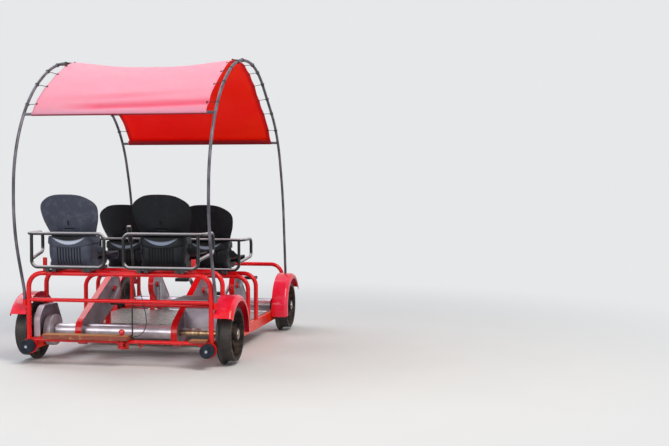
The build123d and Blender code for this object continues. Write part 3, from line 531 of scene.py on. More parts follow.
# Chain cases and mudguards: pressed steel, enamelled red like the frame but
# glossier, because they were sprayed off the car. Small hexagon screws all round
# hold each case's side plates.
CASE_X = 0.3545
CASE_FACE = 0.020
AXLE_END = 0.100
CRANK_END = 0.120
SCREW_INSET = 0.017
END_SCREW = 0.5
ALONG_SCREWS = (0.0, 0.33, 0.67, 1.0)
CRANKS = {"rear": (-0.329, 0.460), "front": (0.661, 0.400)}
case_enamel = enamel("chain case enamel", "#D2060F", "#E0141C", 0.20, chips=0.72, gloss=0.18)
guard_enamel = enamel("mudguard enamel", "#E00A20", "#F23658", 0.16, chips=0.76, gloss=0.12, shine=0.4)
corners = [f"{row}_{side}" for row in ("rear", "front") for side in ("left", "right")]
paint(case_enamel, *[f"chain_case_{corner}" for corner in corners])
paint(guard_enamel, *[f"mudguard_{corner}" for corner in corners])
screws = []
for row, axle_y in (("rear", -HALF_BASE), ("front", HALF_BASE)):
    crank_y, crank_z = CRANKS[row]
    along = atan2(crank_z - AXLE_HEIGHT, crank_y - axle_y)
    length = hypot(crank_z - AXLE_HEIGHT, crank_y - axle_y)
    tangent = acos((AXLE_END - CRANK_END) / length)
    low, high = AXLE_END - SCREW_INSET, CRANK_END - SCREW_INSET
    rim = []
    for turned in (tangent, -tangent):
        a = along + turned
        ends = (
            (axle_y + low * cos(a), AXLE_HEIGHT + low * sin(a)),
            (crank_y + high * cos(a), crank_z + high * sin(a)),
        )
        for share in ALONG_SCREWS:
            rim.append(tuple(p + share * (q - p) for p, q in zip(*ends)))
    for a in (along - END_SCREW, along + END_SCREW):
        rim.append((crank_y + high * cos(a), crank_z + high * sin(a)))
        rim.append((axle_y - low * cos(a), AXLE_HEIGHT - low * sin(a)))
    for side in (-1, 1):
        for face in (-1, 1):
            screws += [((side * CASE_X + face * CASE_FACE, y, z), (face, 0, 0)) for y, z in rim]
bolt("case_plate_screws", screws, Head=0.0042, Rise=0.003, Washer=0.006)

# Floor plates. Aluminium tread plate, rolled with short raised bars that cross
# at right angles, scuffed to a patchy grey and screwed to the beams.
FLOOR_TOP = 0.1893
FLOOR_SPANS = ((-0.650, -0.400), (-0.290, 0.600))
FLOOR_HALF_WIDTH = 0.640
FLOOR_SCREWS = (-0.6, -0.2, 0.2, 0.6)
FLOOR_SCREW_INSET = 0.014
BAR_PITCH = 0.030
BAR_SINK = 0.0003
tread_plate = mottled(
    "rolled aluminium tread plate", "#B5B3B1", "#7C7672", 0.03, (0.4, 0.65), (0.2, 0.6),
    bump=0.0003, detail=7, rough=0.65, Metallic=1.0,
)
paint(tread_plate, "floor_plates")
tread_group = start_group("tread bar", {"Length": 0.011, "Width": 0.0028, "Rise": 0.0014})
tree, given, _ = tread_group
lens = add(tree, "GeometryNodeMeshUVSphere", {"Segments": 8, "Rings": 4, "Radius": 1.0})
shape = add(tree, "ShaderNodeCombineXYZ", {0: given["Length"], 1: given["Width"], 2: given["Rise"]})
laid = {"Points": given["Geometry"], "Instance": lens, "Rotation": carried_turn(tree), "Scale": shape}
bars = add(tree, "GeometryNodeInstanceOnPoints", laid)
end_group(tree, given, add(tree, "GeometryNodeSetShadeSmooth", {"Geometry": bars}))
bar_places, bar_turns, floor_screws = [], [], []
for start, end in FLOOR_SPANS:
    rows = round((end - start - BAR_PITCH) / BAR_PITCH)
    columns = round(2 * FLOOR_HALF_WIDTH / BAR_PITCH) - 1
    for r in range(rows):
        for c in range(columns):
            y = start + BAR_PITCH * (r + 1)
            x = BAR_PITCH * (c - (columns - 1) / 2)
            bar_places.append((x, y, FLOOR_TOP - BAR_SINK))
            bar_turns.append((0, 0, radians(45 if (r + c) % 2 else -45)))
    for y in (start + FLOOR_SCREW_INSET, end - FLOOR_SCREW_INSET):
        floor_screws += [((x, y, FLOOR_TOP), UP) for x in FLOOR_SCREWS]
bar_layers = {"turn": bar_turns}
grow("tread_bars", tread_group, bar_places, "chassis", "floor_sheet", bar_layers, Finish=tread_plate)
bolt("floor_screws", floor_screws, Head=0.005, Rise=0.003, Washer=0.007)

# Seat rails, armrests and lever: tube and channel in satin black powder coat,
# slightly pebbled. Their upper faces are painted light grey, a painted highlight.
shader = {"Specular_IOR_Level": 0.4, "Coat_Weight": 0.4, "Coat_Roughness": 0.12}
powder, tree, principled, place = start_finish("black powder coat", **shader)
pebble = patches(tree, place, 0.0025, 0.3, 0.7, detail=2)
greyed = patches(tree, place, 0.09, 0.52, 0.7, detail=6)
upward = add(tree, "ShaderNodeSeparateXYZ", {0: add(tree, "ShaderNodeNewGeometry", out="Normal")}, "Z")
# Faces that turn upwards get the painted highlight.
span = {"Value": upward, "From Min": 0.08, "From Max": 0.6, "To Max": 0.9}
top_highlight = add(tree, "ShaderNodeMapRange", span)
coat_colour = coated(tree, "#0B0C0F", (greyed, "#1E1F25"), (top_highlight, "#B9B5BC"))
sheen = add(tree, "ShaderNodeMapRange", {"Value": pebble, "To Min": 0.22, "To Max": 0.34})
feed(tree, principled, coat_colour, sheen, pebble, 0.0002)
paint(powder, "seat_rails", "brake_lever", "release_rod")
paint(powder, *[f"armrest_{corner}" for corner in corners])

# Seats. Each is one blow-moulded shell of coloured polythene, a bucket whose
# sides turn up, on a grooved skirt that hides its springs. The left rear one is
# mid grey and the others charcoal; the moulding leaves a fine leathery grain.
SEAT_X = 0.334
SEAT_REAR = -1.184
SEAT_BASE = 0.6846
FRONT_ROW = 1.070
ROW_DROP = 0.095
SHELL_WALL = 0.010
# Down the middle of the shell, from the front lip to the top of the back:
# distance forward of the rear line, height, half width, and how far the edges turn up.
shell_line = [
    (0.426, 0.030, 0.176, 0.000),
    (0.424, 0.062, 0.196, 0.006),
    (0.380, 0.078, 0.208, 0.016),
    (0.290, 0.062, 0.213, 0.032),
    (0.200, 0.055, 0.213, 0.046),
    (0.120, 0.066, 0.204, 0.062),
    (0.068, 0.108, 0.184, 0.072),
    (0.048, 0.160, 0.164, 0.066),
    (0.036, 0.212, 0.167, 0.056),
    (0.018, 0.262, 0.182, 0.050),
    (0.000, 0.312, 0.199, 0.048),
    (-0.018, 0.362, 0.208, 0.046),
    (-0.036, 0.412, 0.210, 0.045),
    (-0.054, 0.462, 0.210, 0.044),
    (-0.072, 0.512, 0.210, 0.044),
]
SHELL_ROWS = 72
SHELL_COLUMNS = 37
TOP_ROUND = 0.17
LIP_ROUND = 0.035
EDGE_ROUND = 0.003


def along_line(line, share):
    """A smooth reading of a table of numbers at a share of its length."""
    share = max(0.0, min(share, 1.0))
    spot = share * (len(line) - 1)
    i = min(int(spot), len(line) - 2)
    f = spot - i
    rows = [line[max(0, min(k, len(line) - 1))] for k in (i - 1, i, i + 1, i + 2)]
    weights = (
        (-f ** 3 + 2 * f ** 2 - f) / 2,
        (3 * f ** 3 - 5 * f ** 2 + 2) / 2,
        (-3 * f ** 3 + 4 * f ** 2 + f) / 2,
        (f ** 3 - f ** 2) / 2,
    )
    return [sum(w * row[k] for w, row in zip(weights, rows)) for k in range(len(line[0]))]


def heading(line, share):
    """The direction of a line's first two columns at a share of its length."""
    ahead, behind = along_line(line, share + 0.01), along_line(line, share - 0.01)
    return Vector((ahead[0] - behind[0], ahead[1] - behind[1])).normalized()


def grid_faces(rows, columns):
    """Quads of a grid of points, rows by columns."""
    round_quad = ((0, 0), (0, 1), (1, 1), (1, 0))
    return [
        [(r + i) * columns + c + j for i, j in round_quad]
        for r in range(rows - 1)
        for c in range(columns - 1)
    ]


def modify(made, kind, **settings):
    """Add a modifier with its settings."""
    modifier = made.modifiers.new(kind.lower(), kind)
    for key, value in settings.items():
        setattr(modifier, key, value)


shell_points = []
for r in range(SHELL_ROWS):
    for c in range(SHELL_COLUMNS):
        across = sin(pi * (c / (SHELL_COLUMNS - 1) - 0.5))
        start = LIP_ROUND * abs(across) ** 3
        end = 1 - TOP_ROUND * (1 - (1 - abs(across) ** 2) ** 0.5)
        share = start + (end - start) * r / (SHELL_ROWS - 1)
        forward, up, half, turn_up = along_line(shell_line, share)
        run, rise = heading(shell_line, share)
        bulge = turn_up * abs(across) ** 2.2
        y, z = SEAT_REAR + forward + bulge * rise, SEAT_BASE + up - bulge * run
        shell_points.append((half * across, y, z))
shell = mesh_object("seat_shell", shell_points, grid_faces(SHELL_ROWS, SHELL_COLUMNS))
modify(shell, "SOLIDIFY", thickness=SHELL_WALL, offset=-1)
modify(shell, "BEVEL", width=EDGE_ROUND, segments=2, limit_method="ANGLE", angle_limit=radians(50))
shell = plain_copy(shell, "seat_shell")

# Skirt: its plan is a rounded U and its foot curves in. Grooves run up its
# middle to an overhanging band, and above that a crescent lip edges the hand-hold.
SKIRT_HALF = 0.160
SKIRT_DEPTH = 0.150
SKIRT_CORNER = 0.055
SKIRT_COLUMNS = 241
SKIRT_TOP = 0.222
GROOVE_HALF = 0.092
GROOVE_PITCH = 0.0205
GROOVE_DEPTH = 0.0055
CRESCENT_HALF = 0.124
SKIRT_WALL = 0.004
SKIRT_FOOT = 0.004
# Height at which the band, the lip and the hand-hold begin in the middle, and how
# far each rises to its sides.
BAND_LOW, BAND_BOW = 0.146, 0.026
LIP_LOW, LIP_BOW = 0.166, 0.052
HOLD_LOW, HOLD_BOW = 0.196, 0.024
# Swell of the lip beyond the crescent's ends; a swell deeper than DEEP_SWELL keeps to
# the skirt's rear.
LIP_END = 0.006
DEEP_SWELL = -0.02
# Band of the skirt's height, share of that band, outward swell, and how much of the
# grooves shows.
skirt_rows = [
    (0, 0.00, -0.058, 0), (0, 0.08, -0.040, 0.3), (0, 0.18, -0.024, 1), (0, 0.30, -0.011, 1),
    (0, 0.45, -0.003, 1), (0, 0.60, 0.000, 1), (0, 0.80, 0.001, 1), (0, 0.955, 0.001, 1),
    (0, 0.97, 0.000, 0), (0, 1.00, 0.000, 0),
    (1, 0.02, 0.008, 0), (1, 0.15, 0.010, 0), (1, 0.80, 0.009, 0), (1, 0.97, 0.005, 0),
    (2, 0.00, 0.016, 0), (2, 0.12, 0.021, 0), (2, 0.30, 0.020, 0), (2, 0.65, 0.010, 0),
    (2, 0.95, -0.002, 0),
    (3, 0.05, -0.008, 0), (3, 0.20, -0.018, 0), (3, 0.80, -0.018, 0), (3, 1.00, -0.018, 0),
]


def skirt_plan(share):
    """A point of the skirt's plan and its outward direction."""
    straight = SKIRT_DEPTH - SKIRT_CORNER
    inner = SKIRT_HALF - SKIRT_CORNER
    arc = pi * SKIRT_CORNER / 2
    spot = (share - 0.5) * (2 * straight + 2 * arc + 2 * inner)
    side = -1 if spot < 0 else 1
    spot = abs(spot)
    if spot < inner:
        return side * spot, 0.0, 0.0, -1.0
    if spot < inner + arc:
        a = (spot - inner) / SKIRT_CORNER
        x = side * (inner + SKIRT_CORNER * sin(a))
        return x, SKIRT_CORNER * (1 - cos(a)), side * sin(a), -cos(a)
    return side * SKIRT_HALF, SKIRT_CORNER + spot - inner - arc, float(side), 0.0


def skirt_edges(x):
    """Heights at which the skirt's bands meet: foot, band, lip, hand-hold and top."""
    bow = min(1.0, abs(x) / CRESCENT_HALF) ** 2
    band = BAND_LOW + BAND_BOW * (x / SKIRT_HALF) ** 2
    return SKIRT_FOOT, band, LIP_LOW + LIP_BOW * bow, HOLD_LOW + HOLD_BOW * bow, SKIRT_TOP


skirt_points, skirt_lip_highlight, skirt_painted_shade = [], [], []
for band, share, swell, grooved in skirt_rows:
    for c in range(SKIRT_COLUMNS):
        x, back, out_x, out_y = skirt_plan(c / (SKIRT_COLUMNS - 1))
        edges = skirt_edges(x)
        rear = max(0.0, -out_y)
        hold = max(0.0, 1 - (abs(x) / CRESCENT_HALF) ** 6) * rear
        if band >= 2:
            swell = swell * hold + LIP_END * (1 - hold)
        flat = abs(x) < GROOVE_HALF and rear > 0.99
        groove = max(0.0, cos(2 * pi * x / GROOVE_PITCH)) ** 0.8 if flat else 0.0
        push = swell * (rear if swell < DEEP_SWELL else 1.0) - grooved * groove * GROOVE_DEPTH
        skirt_points.append((
            x + push * out_x,
            SEAT_REAR + back + push * out_y,
            SEAT_BASE + edges[band] + (edges[band + 1] - edges[band]) * share,
        ))
        # The crescent lip is marked for a painted highlight, and the hand-hold and the grooves for
        # painted shade.
        skirt_lip_highlight.append(hold if band == 2 and share < 0.9 else 0.0)
        skirt_painted_shade.append(hold if band == 3 else groove * grooved)
skirt = mesh_object("seat_skirt", skirt_points, grid_faces(len(skirt_rows), SKIRT_COLUMNS))
store(skirt.data, {"lip_highlight": skirt_lip_highlight, "painted_shade": skirt_painted_shade})
modify(skirt, "SOLIDIFY", thickness=SKIRT_WALL, offset=-1)
skirt = plain_copy(skirt, "seat_skirt")

# Under the pan a shallow moulded box, open below, stands on the seat rails.
BASE_HALF = 0.148
BASE_START = 0.105
BASE_END = 0.372
BASE_FOOT = 0.004
BASE_TOP = 0.058
BASE_TAPER = 0.016
BASE_ROUND = 0.012
BOX_FACES = [(0, 1, 3, 2), (4, 6, 7, 5), (0, 4, 5, 1), (2, 3, 7, 6), (0, 2, 6, 4), (1, 5, 7, 3)]
base_points = [
    (side * (BASE_HALF - taper), SEAT_REAR + y - taper * (y == BASE_END), SEAT_BASE + z)
    for side in (-1, 1)
    for y in (BASE_START, BASE_END)
    for z, taper in ((BASE_FOOT, BASE_TAPER), (BASE_TOP, 0.0))
]
base = mesh_object("seat_base", base_points, BOX_FACES)
modify(base, "BEVEL", width=BASE_ROUND, segments=4, limit_method="ANGLE", angle_limit=radians(30))
base = plain_copy(base, "seat_base")

# Blind slots in the back for a hook, floored with black nylon as a painted shade of the dark behind
# them.
# Their floors lie SLOT_FLOOR forward of the back's rear face, which slants through
# BACK_LINE.
SLOT_FLOOR = 0.006
BACK_LINE = (0.0325, 0.222)
BACK_SLOPE = -0.36
SLOTS = ((0.038, 0.271, 0.278), (0.005, 0.298, 0.330))
BEHIND = -0.08
# Black nylon for the pedals, and as painted shade on the slot floors.
nylon_and_slot_shade = mottled(
    "moulded black nylon", "#08090A", "#17181B", 0.01, (0.0, 1.0),
    Roughness=0.5, Specular_IOR_Level=0.3,
)
for material in (None, nylon_and_slot_shade):
    shell.data.materials.append(material)
for half, low, high in SLOTS:
    sides = [(BEHIND, low), (BEHIND, high)]
    for up in (low, high):
        sides.append((BACK_LINE[0] + BACK_SLOPE * (up - BACK_LINE[1]) + SLOT_FLOOR, up))
    box = [(x, SEAT_REAR + y, SEAT_BASE + z) for x in (-half, half) for y, z in sides]
    cutter = mesh_object("slot_cutter", box, BOX_FACES, [nylon_and_slot_shade])
    cut = {"operation": "DIFFERENCE", "solver": "EXACT", "material_mode": "TRANSFER"}
    modify(shell, "BOOLEAN", object=cutter, **cut)
    shell = plain_copy(shell, "seat_shell")
    bpy.data.objects.remove(cutter)


def moulded(name, colour, light, wear_and_highlight):
    """Blow-moulded polythene: leathery grain, faint scuffs, a painted lip highlight, painted shade in
    hollows.
    """
    material, tree, principled, place = start_finish(name, Specular_IOR_Level=0.22)
    grain = add(tree, "ShaderNodeTexVoronoi", {"Vector": place, "Scale": 700.0}, "Distance")
    scuff = patches(tree, place, 0.06, 0.5, 0.72, detail=8, rough=0.7)
    lip_highlight = add(tree, "ShaderNodeAttribute", out="Fac", attribute_name="lip_highlight")
    painted_shade = add(tree, "ShaderNodeAttribute", out="Fac", attribute_name="painted_shade")
    plastic_colour = coated(tree, colour, (scuff, light), (lip_highlight, wear_and_highlight), (painted_shade, "#060709"))
    sheen = add(tree, "ShaderNodeMapRange", {"Value": scuff, "To Min": 0.42, "To Max": 0.58})
    feed(tree, principled, plastic_colour, sheen, grain, 0.0003)
    return material


charcoal = moulded("charcoal polythene", "#0C0F15", "#191D25", "#7C879B")
mid_grey = moulded("mid grey polythene", "#3E4250", "#555A68", "#B4BCCC")
for row, forward, drop in (("rear", 0, 0), ("front", FRONT_ROW, ROW_DROP)):
    for side_name, side in (("left", -1), ("right", 1)):
        plastic = mid_grey if (row, side_name) == ("rear", "left") else charcoal
        for part in (shell, skirt, base):
            mesh = part.data.copy()
            mesh.transform(Matrix.Translation((side * SEAT_X, forward, -drop)))
            if part is shell:
                mesh.materials[0] = plastic
            else:
                mesh.materials.append(plastic)
            made = put(f"{part.name}_{row}_{side_name}", mesh)
            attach(made, "chassis")
        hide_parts(f"seat_{row}_{side_name}")
for part in (shell, skirt, base):
    bpy.data.objects.remove(part)

# Buffers: solid moulded rubber, bluish black with a grey bloom, each on one bolt
# whose head is sunk in its face.
rubber, tree, principled, place = start_finish("moulded buffer rubber", Specular_IOR_Level=0.2)
bloom = patches(tree, place, 0.03, 0.4, 0.7, detail=6)
sheen = add(tree, "ShaderNodeMapRange", {"Value": bloom, "To Min": 0.55, "To Max": 0.75})
feed(tree, principled, coated(tree, "#141A24", (bloom, "#2B3442")), sheen, bloom, 0.0004)
paint(rubber, "buffers")
BUFFER_X = 0.652
BUFFER_HEIGHT = 0.133
BUFFER_REACH = 0.0853
buffer_faces = [
    ((side * BUFFER_X, y + way * BUFFER_REACH, BUFFER_HEIGHT), (0, way, 0))
    for side in (-1, 1)
    for y, way in ((REAR_FRAME, -1), (FRONT_FRAME, 1))
]
bolt("buffer_bolts", buffer_faces, Head=0.006, Rise=0.003, Washer=0.010)

# Boards on the rear bar: planed pine under brown paint, pale wood coloured in patches and
# on their upper faces. The paint shows the grain, and their long rear faces are plain.
board, tree, principled, place = start_finish("brown painted pine")
fibres = patches(tree, place, 0.006, detail=5, stretch=(0.06, 1, 1))
wear_and_highlight = patches(tree, place, 0.05, 0.56, 0.66, detail=7, rough=0.7)
upward = add(tree, "ShaderNodeSeparateXYZ", {0: add(tree, "ShaderNodeNewGeometry", out="Normal")}, "Z")
# Faces that turn upwards are pale wood coloured.
pale_top = add(tree, "ShaderNodeMath", {0: upward, 1: 0.8}, operation="MULTIPLY", use_clamp=True)
pale_wood = add(tree, "ShaderNodeMath", {0: wear_and_highlight, 1: pale_top}, operation="MAXIMUM")
board_colour = coated(tree, "#6A2A20", (fibres, "#944A34"), (pale_wood, "#B98247"))
sheen = add(tree, "ShaderNodeMapRange", {"Value": fibres, "To Min": 0.42, "To Max": 0.76})
feed(tree, principled, board_colour, sheen, fibres, 0.0006)
paint(board, "rear_plank")

# Coupling pin: a steel pin, dropped through the jaws, with a knob moulded on its
# top in glossy red plastic that has paled where it is gripped.
knob = mottled(
    "red moulded knob", "#C4101C", "#DC2A30", 0.01, (0.45, 0.7), Roughness=0.25, Coat_Weight=0.3,
)
paint(knob, "coupling_pin")

# Cranks and pedals. The cranks are forged steel, zinc plated like the bolts, and
# the pedals are injection moulded in dull black nylon, pressed on their pins.
paint(zinc, *[f"crank_{corner}" for corner in corners])
paint(nylon_and_slot_shade, *[f"pedals_{corner}" for corner in corners])

# Canopy frame: thin galvanised tube bent over the car, painted grey and weathered, with a mauve
# tint that is a painted reflection of the red cloth. It catches a long thin light, as thin tube does.
hoop_paint = mottled(
    "weathered grey tube paint", "#45434D", "#726E78", 0.05, (0.4, 0.66), (0.22, 0.6),
    bump=0.0002, detail=6, stretch=(1, 1, 0.4), Metallic=0.25,
)
paint(hoop_paint, "canopy_frame")

# Canopy: one sheet of coated polyester, woven red, with a painted pink sheen of the sky on
# its outside. A sleeve sewn at each end holds a bar, and black loops tie its edges
# to the side tubes, so it hangs a little slack between them.
HOOP_X = 0.696
CLOTH_HALF = 0.636
CLOTH_WALL = 0.0012
SLEEVE = 0.0122
SLEEVE_STEPS = 8
FLAP = 0.035
FLAP_STEPS = 3
FLAP_SLANT = 0.006
SIDE_HEM = 0.030
SAG = 0.050
SCALLOP = 0.004
# How far the edges hang inside the tubes: near the bars, and in the rear and front parts.
EDGE_GAP, REAR_BOW, FRONT_BOW = 0.004, 0.032, 0.026
BOWS_MEET = 0.40
# Depths of the long folds behind the bars, of the creases at the ties and of the ripples.
REAR_VALLEY, SECOND_VALLEY, FRONT_VALLEY = 0.011, 0.004, 0.006
CREASE = 0.006
RIPPLE = 0.0035
CLOTH_ROWS = 96
CLOTH_COLUMNS = 61
TIE_ROWS = (0.045, 0.14, 0.235, 0.315, 0.385, 0.525, 0.60, 0.68, 0.765, 0.85, 0.94)
REAR_BAR = (-1.0966, 1.7587)
FRONT_BAR = (0.8084, 1.6127)
TUBE_STEPS = 12
# The outermost points of the side tube lie on its centre line. Between the two
# bars they are taken from the frame and set in equal steps along the tube.
tube_mesh = nodes["canopy_frame"].data.vertices
outermost = max(v.co.x for v in tube_mesh) - 0.00005
side_line = {(round(v.co.y, 4), round(v.co.z, 4)) for v in tube_mesh if v.co.x > outermost}
tube_dots = [REAR_BAR]
for y, z in sorted(side_line):
    if REAR_BAR[0] + 0.001 < y < FRONT_BAR[0] - 0.001 and z > FRONT_BAR[1]:
        tube_dots.append((y, z))
tube_dots.append(FRONT_BAR)
reaches = [0.0]
for a, b in zip(tube_dots, tube_dots[1:]):
    reaches.append(reaches[-1] + dist(a, b))
tube_line = []
for step in range(TUBE_STEPS + 1):
    reach = reaches[-1] * step / TUBE_STEPS
    i = max(k for k in range(len(reaches) - 1) if reaches[k] <= reach)
    part = (reach - reaches[i]) / (reaches[i + 1] - reaches[i])
    tube_line.append(tuple(p + part * (q - p) for p, q in zip(tube_dots[i], tube_dots[i + 1])))


def tube_place(share):
    """Centre of the side tube at a share of the cloth's length, and the tube's direction there."""
    return Vector(along_line(tube_line, share)), heading(tube_line, share)


def cloth_edge(share):
    """How far the cloth's edge hangs inside the line of the tubes; none at the bars."""
    gap = EDGE_GAP * min(1.0, share / 0.06, (1 - share) / 0.06)
    rear = REAR_BOW * sin(pi * min(share / BOWS_MEET, 1.0)) ** 2
    front = FRONT_BOW * sin(pi * max(0.0, (share - BOWS_MEET) / (1 - BOWS_MEET))) ** 2
    return gap + rear + front


def valley(share, middle, half):
    """1 along a fold's middle, 0 at half its width to either side."""
    return max(0.0, 1 - ((share - middle) / half) ** 2)


def tie_pull(share):
    """1 at a tie, 0 half way to the next."""
    marks = (0.0, *TIE_ROWS, 1.0)
    for a, b in zip(marks, marks[1:]):
        if a <= share <= b:
            return abs(2 * (share - a) / (b - a) - 1)
    return 1.0


cloth_points, cloth_fold, cloth_hem, cloth_shade = [], [], [], []
row_kinds = [("flap", k / FLAP_STEPS) for k in range(FLAP_STEPS)]
row_kinds += [("wrap", k / SLEEVE_STEPS) for k in range(SLEEVE_STEPS)]
row_kinds += [("main", k / (CLOTH_ROWS - 1)) for k in range(CLOTH_ROWS)]
row_kinds += [("far wrap", 1 - k / SLEEVE_STEPS) for k in range(SLEEVE_STEPS)]
row_kinds += [("far flap", 1 - k / FLAP_STEPS) for k in range(1, FLAP_STEPS + 1)]
for kind, step in row_kinds:
    far_end = kind.startswith("far")
    share = step if kind == "main" else float(far_end)
    centre, way = tube_place(share)
    outward = Vector((-way[1], way[0]))
    back = way if far_end else -way
    for c in range(CLOTH_COLUMNS):
        across = -1 + 2 * c / (CLOTH_COLUMNS - 1)
        level = 1 - across ** 2
        pull = tie_pull(share)
        half = CLOTH_HALF - SCALLOP * (1 - pull ** 2) * (kind == "main")
        if kind == "main":
            tense = sin(pi * share)
            hollow = cloth_edge(share) + SAG * level * tense
            rear = valley(share, 0.038 + 0.010 * across, 0.017) * min(1.0, max(0.0, across + 0.75) * 2)
            second = valley(share, 0.085 + 0.020 * across, 0.022) * (1 - abs(across))
            front = valley(share, 0.955, 0.02) * level
            crease = CREASE * abs(across) ** 8 * (1 - pull) * tense
            ripple = RIPPLE * sin(26 * share + 3.1 * across) * sin(9 * share - 5 * across) * tense
            dip = hollow + REAR_VALLEY * rear + SECOND_VALLEY * second + FRONT_VALLEY * front + crease
            spot = centre + outward * (SLEEVE - dip + ripple)
            # fold carries the painted shade of the long folds and the ripples.
            fold, shade = rear + 0.5 * second + 0.35 * front - 30 * ripple, 0.0
        else:
            fold, shade = 0.0, 1.0
            if "wrap" in kind:
                a = pi * (1 - step)
                shade = min(1.0, max(0.0, (a - 0.25 * pi) / (0.15 * pi)))
                spot = centre + outward * SLEEVE * cos(a) + back * SLEEVE * sin(a)
            else:
                spot = centre - outward * (SLEEVE - FLAP_SLANT * (1 - step)) - back * FLAP * (1 - step)
        cloth_points.append((half * across, spot[0], spot[1]))
        cloth_fold.append(fold)
        cloth_shade.append(shade)
        side_hem = max(0.0, 1 - half * (1 - abs(across)) / SIDE_HEM)
        end_hem = 1.0 if min(share, 1 - share) * reaches[-1] < FLAP else 0.0
        cloth_hem.append(max(end_hem, min(1.0, side_hem * 3)))


def woven(tree, principled, place, colour):
    """Finish a cloth with its colour, a matt coating and the weave's small ribs."""
    # Yarns 0.5 mm apart are too fine to show, so the weave is drawn four times as coarse.
    ribs = {"Vector": place, "Scale": 160.0, "Distortion": 0.6}
    weave = add(tree, "ShaderNodeTexWave", ribs, "Fac", bands_direction="X")
    feed(tree, principled, colour, patches(tree, place, 0.08, 0.3, 0.7, 0.55, 0.72), weave, 0.00004)


# Light passes through the cloth, so both faces glow a little. The outer one's pink is a painted
# sky sheen, paler higher up, and its folds and turned sleeves get a painted shade of deeper red.
translucent = {"Subsurface_Weight": 0.6, "Subsurface_Scale": 0.02}
outer_name = "sun-bleached coated polyester"
cloth_outer, tree, principled, place = start_finish(outer_name, Specular_IOR_Level=0.25, **translucent)
fold = add(tree, "ShaderNodeAttribute", out="Fac", attribute_name="fold")
patchy_sheen = patches(tree, place, 0.45, 0.35, 0.7, detail=3, stretch=(0.5, 1, 1))
height = add(tree, "ShaderNodeSeparateXYZ", {0: place}, "Z")
lit_top = add(tree, "ShaderNodeMapRange", {"Value": height, "From Min": 1.75, "From Max": 2.19})
fold_shade = add(tree, "ShaderNodeMapRange", {"Value": fold, "To Max": 0.8})
shade = add(tree, "ShaderNodeAttribute", out="Fac", attribute_name="shade")
pink = coated(tree, "#FB7A90", (lit_top, "#FC9CAC"), (patchy_sheen, "#FA8CA0"))
pink = coated(tree, pink, (fold_shade, "#EE3A5E"), (shade, "#8E0A14"))
woven(tree, principled, place, pink)

# Inside, the red is painted brighter towards the car's right, a painted light, and the hems are painted
# a darker red, a painted shade of the doubled cloth.
inner_name = "red coated polyester"
cloth_inner, tree, principled, place = start_finish(inner_name, Specular_IOR_Level=0.12, **translucent)
hem = add(tree, "ShaderNodeAttribute", out="Fac", attribute_name="hem")
across_car = add(tree, "ShaderNodeSeparateXYZ", {0: place}, "X")
span = {"Value": across_car, "From Min": -0.2, "From Max": 0.65, "To Max": 0.8}
lit = add(tree, "ShaderNodeMapRange", span)
uneven = patches(tree, place, 0.3, 0.4, 0.7)
red = coated(tree, "#F00804", (lit, "#FF2A08"), (uneven, "#F81406"), (hem, "#9A0810"))
woven(tree, principled, place, red)

cloth_faces = grid_faces(len(row_kinds), CLOTH_COLUMNS)
cloth = mesh_object("canopy_cloth", cloth_points, cloth_faces, [cloth_outer, cloth_inner])
store(cloth.data, {"fold": cloth_fold, "hem": cloth_hem, "shade": cloth_shade})
modify(cloth, "SOLIDIFY", thickness=CLOTH_WALL, offset=0, material_offset=1, material_offset_rim=1)
cloth = plain_copy(cloth, "canopy_cloth")
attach(cloth, "chassis")
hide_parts("canopy")

# Ties: black shock cord, knotted through eyelets along both edges of the cloth
# and looped round the side tubes.
CORD_RADIUS = 0.0022
LOOP_RADIUS = 0.0135
KNOT = 0.0075
EYELET_INSET = 0.014
shock_cord, tree, principled, place = start_finish("braided shock cord", Roughness=0.8)
braid = add(tree, "ShaderNodeTexVoronoi", {"Vector": place, "Scale": 900.0}, "Distance")
feed(tree, principled, coated(tree, "#0B0B0D", (braid, "#2A2A2E")), None, braid, 0.0005)
tie_group = start_group("edge tie", {"Cord": CORD_RADIUS, "Loop": LOOP_RADIUS, "Knot": KNOT})
tree, given, _ = tie_group
span = add(tree, "GeometryNodeInputNamedAttribute", {"Name": "span"}, data_type="FLOAT_VECTOR")
turn = carried_turn(tree)
length = add(tree, "ShaderNodeVectorMath", {0: span}, "Value", operation="LENGTH")
half_span = add(tree, "ShaderNodeVectorMath", {0: span, "Scale": 0.5}, operation="SCALE")
strand = add(tree, "GeometryNodeMeshCylinder", {"Vertices": 8, "Radius": given["Cord"], "Depth": 1.0})
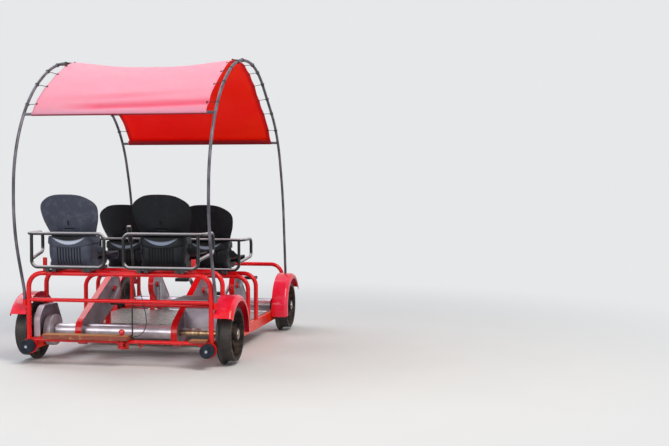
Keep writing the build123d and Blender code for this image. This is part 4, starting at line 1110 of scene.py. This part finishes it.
middles = add(tree, "GeometryNodeSetPosition", {"Geometry": given["Geometry"], "Offset": half_span})
lie = add(tree, "FunctionNodeAlignRotationToVector", {"Vector": span}, axis="Z")
stretch = add(tree, "ShaderNodeCombineXYZ", {0: 1.0, 1: 1.0, 2: length})
laid = {"Points": middles, "Instance": strand, "Rotation": lie, "Scale": stretch}
strands = add(tree, "GeometryNodeInstanceOnPoints", laid)
ends = add(tree, "GeometryNodeSetPosition", {"Geometry": given["Geometry"], "Offset": span})
ring = add(tree, "GeometryNodeCurvePrimitiveCircle", {"Resolution": 20, "Radius": given["Loop"]})
bead = add(tree, "GeometryNodeCurvePrimitiveCircle", {"Resolution": 8, "Radius": given["Cord"]})
loop = add(tree, "GeometryNodeCurveToMesh", {"Curve": ring, "Profile Curve": bead})
loops = add(tree, "GeometryNodeInstanceOnPoints", {"Points": ends, "Instance": loop, "Rotation": turn})
ball = add(tree, "GeometryNodeMeshUVSphere", {"Segments": 10, "Rings": 6, "Radius": given["Knot"]})
tied = {"Points": given["Geometry"], "Instance": ball, "Rotation": turn, "Scale": (1.0, 0.7, 1.2)}
knots = add(tree, "GeometryNodeInstanceOnPoints", tied)
parts = add(tree, "GeometryNodeJoinGeometry", {0: strands})
for geometry in (loops, knots):
    tree.links.new(geometry, parts.node.inputs[0])
end_group(tree, given, add(tree, "GeometryNodeSetShadeSmooth", {"Geometry": parts}))
tie_places, tie_spans, tie_turns = [], [], []
for side in (-1, 1):
    for share in TIE_ROWS:
        centre, way = tube_place(share)
        outward = Vector((-way[1], way[0]))
        spot = centre + outward * (SLEEVE - cloth_edge(share))
        eyelet = Vector((side * (CLOTH_HALF - EYELET_INSET), *spot))
        tie_places.append(eyelet)
        tie_spans.append(tuple(Vector((side * HOOP_X, *centre)) - eyelet))
        tie_turns.append(facing((0, *way)))
tie_layers = {"span": tie_spans, "turn": tie_turns}
grow("canopy_ties", tie_group, tie_places, "chassis", "cable_black", tie_layers, Finish=shock_cord)

bpy.context.view_layer.update()
low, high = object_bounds()
